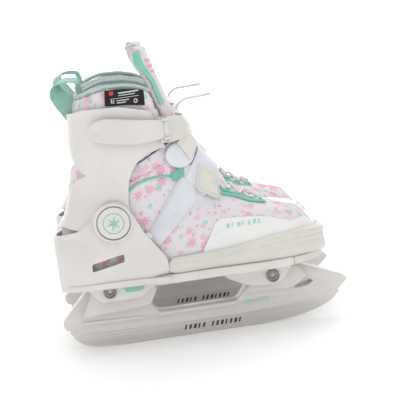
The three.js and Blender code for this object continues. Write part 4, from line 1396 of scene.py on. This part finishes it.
def strapSwell(angle, z, v):
    # fine teeth along the middle of the strap, beside the lever
    turn = math.degrees(angle)
    teeth = 0.45 * max(0.0, math.sin((turn + 60) * 1.1)) ** 2 * (1 if -50 < turn < 10
                                                                 else 0) * (1 if 0.25 < v < 0.75 else 0)
    return buckle["inner"] + teeth


finish("power_strap",
       facing(shaftPanel(-66, 118, buckle["strapLow"], buckle["strapHigh"], strapSwell, 150, 16)),
       "cuff_body", looks["shell"], "shell_plastic", replaces=["buckle_strap"], thick=2.3, offset=1,
       bevel=0.8)
px, py, pz = buckle["pin"]

plate = {"low": [(-24, 193.5), (-14, 192.4), (-3, 194), (0.5, 198)],
         "high": [(-24, 217), (-14, 216), (-4, 214), (0.5, 208)], "inner": 7.4, "outer": 10.2}
plateSheet = facing(sidePatch(plate["low"], plate["high"], plate["inner"], 24, 12, "shaft"))
plateMesh = bmesh.new()
plateMesh.from_mesh(settled(plateSheet, thick=plate["outer"] - plate["inner"], offset=1, bevel=1.0,
                            segments=3))
knuckles = [turned([(0, -1.6), (2.6, -1.6), (3.2, -1.0), (3.2, 1.0), (2.6, 1.6), (0, 1.6)],
                   (px, py, pz + lift), "Z", 28)
            for lift in (-8.6, 8.6)]
finish("buckle_plate", joined(plateMesh, *knuckles), "cuff_body", looks["lever"], "shell_plastic",
       replaces=["buckle_base"])
pinShape = turned([(0, -11), (1.2, -11), (1.6, -10.6), (1.6, 10.6), (1.2, 11), (0, 11)], (px, py, pz), "Z",
                  20)
finish("hinge_pin", pinShape, "cuff_body", looks["zinc"], "zinc_steel", replaces=["lever_pin"])

lever = {
    "low": [(-88, 210.5), (-84, 203.6), (-76, 200.2), (-62, 197.4), (-48, 195.6), (-30, 196.2), (-16, 198.2)],
    "high": [(-88, 213.2), (-84.5, 219.0), (-76, 222.6), (-64, 222.2), (-50, 219.6), (-30, 216.2),
             (-16, 213.8)],
    "inner": 8.3, "thick": 4.4, "lineStand": 12.95 - 0.35,
}


def leverPoint(u, v):
    spot = between(lever["low"], lever["high"], u, v)
    stand = lever["inner"] + lever["thick"] / 2 + 1.2 * (1 - step(0.0, 0.4, u))
    return sideOf(spot.x, spot.y, stand, "shaft")


def leverFat(u, v):
    # thinner where the thumb goes
    thumb = math.exp(-((u - 0.2) / 0.085) ** 2 - ((v - 0.52) / 0.22) ** 2)
    return lever["thick"] * (1 - 0.75 * thumb)


barrel = turned([(0, -6.6), (1.9, -6.6), (2.3, -6.2), (2.3, 6.2), (1.9, 6.6), (0, 6.6)], (px, py, pz), "Z",
                28)
finish("lever_arm", joined(pillow(leverPoint, leverFat, 90, 30, rim=7), barrel), "lever_body",
       looks["lever"], "shell_plastic", replaces=["buckle_lever"], sharp=60)
groove = tubeMesh([sideOf(x, z, lever["lineStand"], "shaft")
                   for x, z in ((-66, 214.5), (-50, 213.6), (-36, 212.6))], 0.35, 8, 30)
finish("lever_line", groove, "lever_body", looks["shell"], "shell_plastic")

headProfile = [(0, 1.6), (2.0, 1.5), (3.3, 1.0), (4.0, 0.2), (4.0, -0.6), (2.0, -0.6), (2.0, -5), (0, -5)]
rivetAt = shaftPoint(7.2, 204, math.radians(103))
finish("strap_rivet_inner", turned(headProfile, (rivetAt.x, rivetAt.y, rivetAt.z), "Y", 32), "cuff_body",
       looks["shell"], "shell_plastic", replaces=["buckle_strap_rivet"])
print("cuff made")

# instep strap: the smooth wing, the strap over the instep, its loop and its tab
wing = {"rear": [(-52, 106), (-45, 113), (-38, 122), (-30, 132), (-20, 146), (-11, 158), (-6, 168)],
        "front": [(-38, 97.6), (-24, 110), (-10, 122.5), (1.2, 132.8), (3, 146), (7, 157), (10.8, 167.2)]}
wingSheet = facing(sidePatch(wing["rear"], wing["front"], 1.4, 40, 16), Vector((0, 0, 120)))
finish("strap_wing", wingSheet, "boot_body", looks["strap"], "strap_leather",
       replaces=["strap_base"], thick=1.6, offset=1, bevel=0.5)
seam = [sideOf(x + 2.4, z + 1.2, 3.15) for x, z in wing["rear"]]
finish("wing_seam", tubeMesh(seam, 0.3, 6, 60), "boot_body", looks["thread"], "strap_leather")
rivetSpot = sideOf(-47, 107.5, 3.4)
finish("wing_rivet", turned(headProfile, tuple(rivetSpot), "-Y", 32), "boot_body", looks["shell"],
       "shell_plastic", replaces=["strap_rivet"])

band = {"grow": 1.0, "height": 128.0}


def bandPlace(u, v):
    # over the front of the ankle, from the outer side to low on the inner side
    lean = -58 + 168 * v
    x = 6 - 26 * step(0.3, 1.0, v) + (u - 0.5) * 22
    turn = math.radians(lean)
    tilt = 0.75 * math.cos(turn)
    direction = Vector((tilt, math.sin(turn), math.cos(turn)))
    origin = Vector((x - 18 - (u - 0.5) * 4, 0, band["height"] - (u - 0.5) * 18 - 10 * step(0.6, 1.0, v)))
    found = touch(form("boot", band["grow"]), origin, direction)
    return found if found else origin


finish("instep_band", facing(gridMesh(16, 60, bandPlace), Vector((-20, 0, 120))), "boot_body", looks["strap"],
       "strap_webbing", replaces=["instep_strap"], thick=1.5, offset=1, bevel=0.4)

loop = {"low": [(3.6, 146), (9, 141.5), (16, 137.2), (23.5, 134.2)],
        "high": [(10.5, 168), (15, 163.6), (21, 158.4), (27, 154.6)]}
finish("loop_keeper", facing(sidePatch(loop["low"], loop["high"], 5.0, 24, 20)), "boot_body",
       looks["strapWeb"], "strap_webbing", replaces=["strap_loop"], thick=2.6, offset=1, bevel=0.7,
       segments=3)
keeperSeam = [sideOf(x, z, 7.75)
              for x, z in ((5.6, 147.5), (10.6, 143.6), (17, 139.6), (22.4, 137.2), (25.4, 154), (20.6, 157.4),
                           (14.6, 162.2), (11.4, 165.2), (5.6, 147.5))]
finish("keeper_seam", tubeMesh(keeperSeam, 0.28, 6, 90, curved=False, ends=False), "boot_body",
       looks["thread"], "strap_webbing")
tab = {"low": [(-9, 190), (-5, 184), (-2, 178), (1.2, 172.3)],
       "high": [(-3.4, 200.7), (2, 196.5), (7.5, 191.5), (11.8, 187.2)]}


def tabPlace(u, v):
    spot = between(tab["low"], tab["high"], u, v)
    found = touch(form("boot", 5.0), Vector((spot.x - 14 * v, 0, spot.y - 8 * v)),
                  Vector((14 * v, -22 + 10 * v, 8 * v)))
    return found if found else Vector((spot.x, 0, spot.y))


finish("strap_end_tab", facing(gridMesh(16, 16, tabPlace), Vector((-20, 0, 170))), "boot_body",
       looks["strapWeb"], "strap_webbing", replaces=["strap_tab"], thick=1.8, offset=1, bevel=0.5)

anklePad = {"centre": (-7, 179), "halfX": 14, "halfZ": 12, "stand": 2.9, "thick": 3.8}


def padPoint(u, v):
    a, b = 2 * u - 1, 2 * v - 1  # a square carried onto an ellipse
    x = anklePad["centre"][0] + anklePad["halfX"] * a * math.sqrt(1 - b * b / 2)
    z = anklePad["centre"][1] + anklePad["halfZ"] * b * math.sqrt(1 - a * a / 2)
    return sideOf(x, z, anklePad["stand"])


finish("ankle_pad", pillow(padPoint, anklePad["thick"], 30, 26, rim=2), "boot_body", looks["pad"],
       "strap_leather", sharp=80, blend=("boot_body", "cuff_body", (0, 0, 164), (0, 0, 184)))

piping = [sideOf(x, z, 0.1) for x, z in ((-59, 152), (-50, 158), (-38, 161), (-24, 161.5), (-14, 157.5))]
finish("quarter_piping", tubeMesh(piping, 1.35, 10, 60), "boot_body", looks["piping"], "mint_webbing")
tagPatch = facing(sidePatch([(-17, 155), (-12, 156.5), (-6, 158.5)], [(-18, 163), (-12, 166), (-5.5, 169)],
                            1.2, 12, 8))
finish("quarter_tag", tagPatch, "boot_body", looks["facing"], "mint_webbing", thick=1.2, offset=1, bevel=0.4)
print("straps made")

# eyestay, lace loops and the zigzag lace over the instep
eyestay = {"rear": 27.0, "front": 68.0, "rearY": 21.0, "frontY": 13.5}


def topOf(x, y, grow):
    found = touch(form("boot", grow), Vector((x, y, 70)), Vector((0, 0, 1)))
    return found if found else Vector((x, y, 110))


def facingStrip(side, offset, width):
    # one of the two strips on each side of the instep, beside its middle line
    def place(u, v):
        x = eyestay["rear"] + (eyestay["front"] - eyestay["rear"]) * v
        y = eyestay["rearY"] + (eyestay["frontY"]
                                - eyestay["rearY"]) * v + offset * (1 - 0.6 * v) + (u - 0.5) * width
        return topOf(x, side * y, 0.5)

    return facing(gridMesh(6, 50, place), Vector((40, 0, 80)))


facings = [facingStrip(side, offset, width) for side in (-1, 1)
           for offset, width in ((2.3, 3.2), (-2.3, 3.0))]
finish("lace_facing", joined(*facings), "toe_body", looks["facing"], "mint_facing", replaces=["eyestay"],
       thick=1.1, offset=1, bevel=0.35)

laceRows = [(64, 13.0), (54, 14.6), (44, 16.4), (34, 18.4)]
loops = []
for x, y in laceRows:
    for side in (-1, 1):
        ends = [topOf(x - 1.9, side * (y + 1.5), 0.9), topOf(x - 1.7, side * (y - 2.4), 1.1),
                topOf(x, side * (y - 4.2), 1.6), topOf(x + 1.7, side * (y - 2.4), 1.1),
                topOf(x + 1.9, side * (y + 1.5), 0.9)]
        loops.append(tubeMesh(ends, 0.7, 8, 24))
finish("lace_loops", joined(*loops), "toe_body", looks["facing"], "mint_facing")


def laceRun(first, lift):
    # from loop to loop, crossing over the instep
    points = []
    for k, (x, y) in enumerate(laceRows):
        side = first if k % 2 == 0 else -first
        points.append(topOf(x, side * (y - 3.4), 1.7))
        if k < len(laceRows) - 1:
            points.append(topOf(x - 5, 0, 1.5 + lift))
    return tubeMesh(points, 1.2, 10, 160)


finish("instep_lace", joined(laceRun(1, 0.0), laceRun(-1, 2.2)), "toe_body", looks["lace"], "lace_cord",
       replaces=["lace"], uv=lambda p: (p.x * 0.1, p.y * 0.1))

# small mint bars printed on the rand
marks = []
for k, x in enumerate((26, 31, 36, 41, 46, 51, 56)):
    width = (3.0, 1.2, 3.4, 1.4, 2.6, 3.2, 1.6)[k]
    z = 106.0 + (0.6 if k % 2 else 0)
    marks.append(facing(sidePatch([(x, z), (x + width / 2, z), (x + width, z)],
                                  [(x + 0.6, z + 4), (x + 0.6 + width / 2, z + 4), (x + 0.6 + width, z + 4)],
                                  1.32, 4, 4, "foot")))
finish("rand_marks", joined(*marks), "toe_body", looks["mintInk"], "mint_plastic", thick=0.12, offset=1)
print("laces made")

# studio: pale floor with painted light, its glow dim near the skates and brighter further out; white card
# behind, white surround and soft lamps


def stageSheet(name, size, segments, turn, move, values, toneScale):
    # a flat sheet with a look of its own, glowing where its Emission Color is fed
    bm = bmesh.new()
    bmesh.ops.create_grid(bm, x_segments=segments, y_segments=segments, size=size)
    bmesh.ops.rotate(bm, verts=bm.verts, matrix=Matrix.Rotation(turn, 3, "X"))
    bmesh.ops.translate(bm, verts=bm.verts, vec=move)
    mesh = bpy.data.meshes.new(name)
    bm.to_mesh(mesh)
    bm.free()
    sheet = bpy.data.objects.new(name, mesh)
    bpy.context.collection.objects.link(sheet)
    material, w, surface, place = freshMaterial(name, {"Emission Strength": 1.0, **values})
    mesh.materials.append(material)
    return sheet, w, surface, place, w.noise(place["Object"], toneScale)


floor, w, surface, place, tone = stageSheet("floor", 4.0, 2, 0.0, (0, 0, -0.0005),
                                            {"Roughness": 0.9, "Specular IOR Level": 0.2}, 2.0)
w.feed(surface, "Base Color", w.blend(tone, linear(248, 248, 248), linear(251, 251, 251)))
# painted light: the floor glows faintly near the skates and more brightly further away, so it reads white
# beyond them
away = w.add("ShaderNodeVectorMath", {0: place["Object"]}, operation="LENGTH")
reach = w.add("ShaderNodeMapRange", {"Value": away.outputs["Value"], "From Min": 0.3, "From Max": 1.8})
w.feed(surface, "Emission Color", w.blend(reach.outputs[0], (0.1, 0.1, 0.1, 1), (0.55, 0.55, 0.55, 1)))

card, w, surface, place, tone = stageSheet("card", 5.0, 1, math.pi / 2, (0, 3.9, 4.0), {"Roughness": 0.9},
                                           1.0)
w.feed(surface, "Emission Color", w.blend(tone, (0.98, 0.98, 0.98, 1), (1, 1, 1, 1)))

studio = {  # place, size, power
    "key": ((-0.5, -1.6, 1.7), 1.6, 8.0), "fill": ((1.4, -1.2, 0.9), 1.4, 3.0),
    "back": ((0.2, 1.5, 1.6), 1.6, 7.0),
    "top": ((0.0, 0.0, 2.2), 1.8, 9.0),
}
for name, (spot, size, power) in studio.items():
    lamp = bpy.data.lights.new(name, "AREA")
    lamp.shape, lamp.size, lamp.energy = "DISK", size, power
    stand = bpy.data.objects.new(name, lamp)
    bpy.context.collection.objects.link(stand)
    stand.location = spot
    stand.rotation_euler = (Vector((0, -0.03, 0.12)) - Vector(spot)).to_track_quat("-Z", "Y").to_euler()
world = bpy.data.worlds.new("surround")
bpy.context.scene.world = world
world.use_nodes = True
background = world.node_tree.nodes["Background"].inputs
background["Color"].default_value = (1, 1, 1, 1)
background["Strength"].default_value = 0.58
bpy.context.scene.view_settings.view_transform = "Standard"
print("studio made")
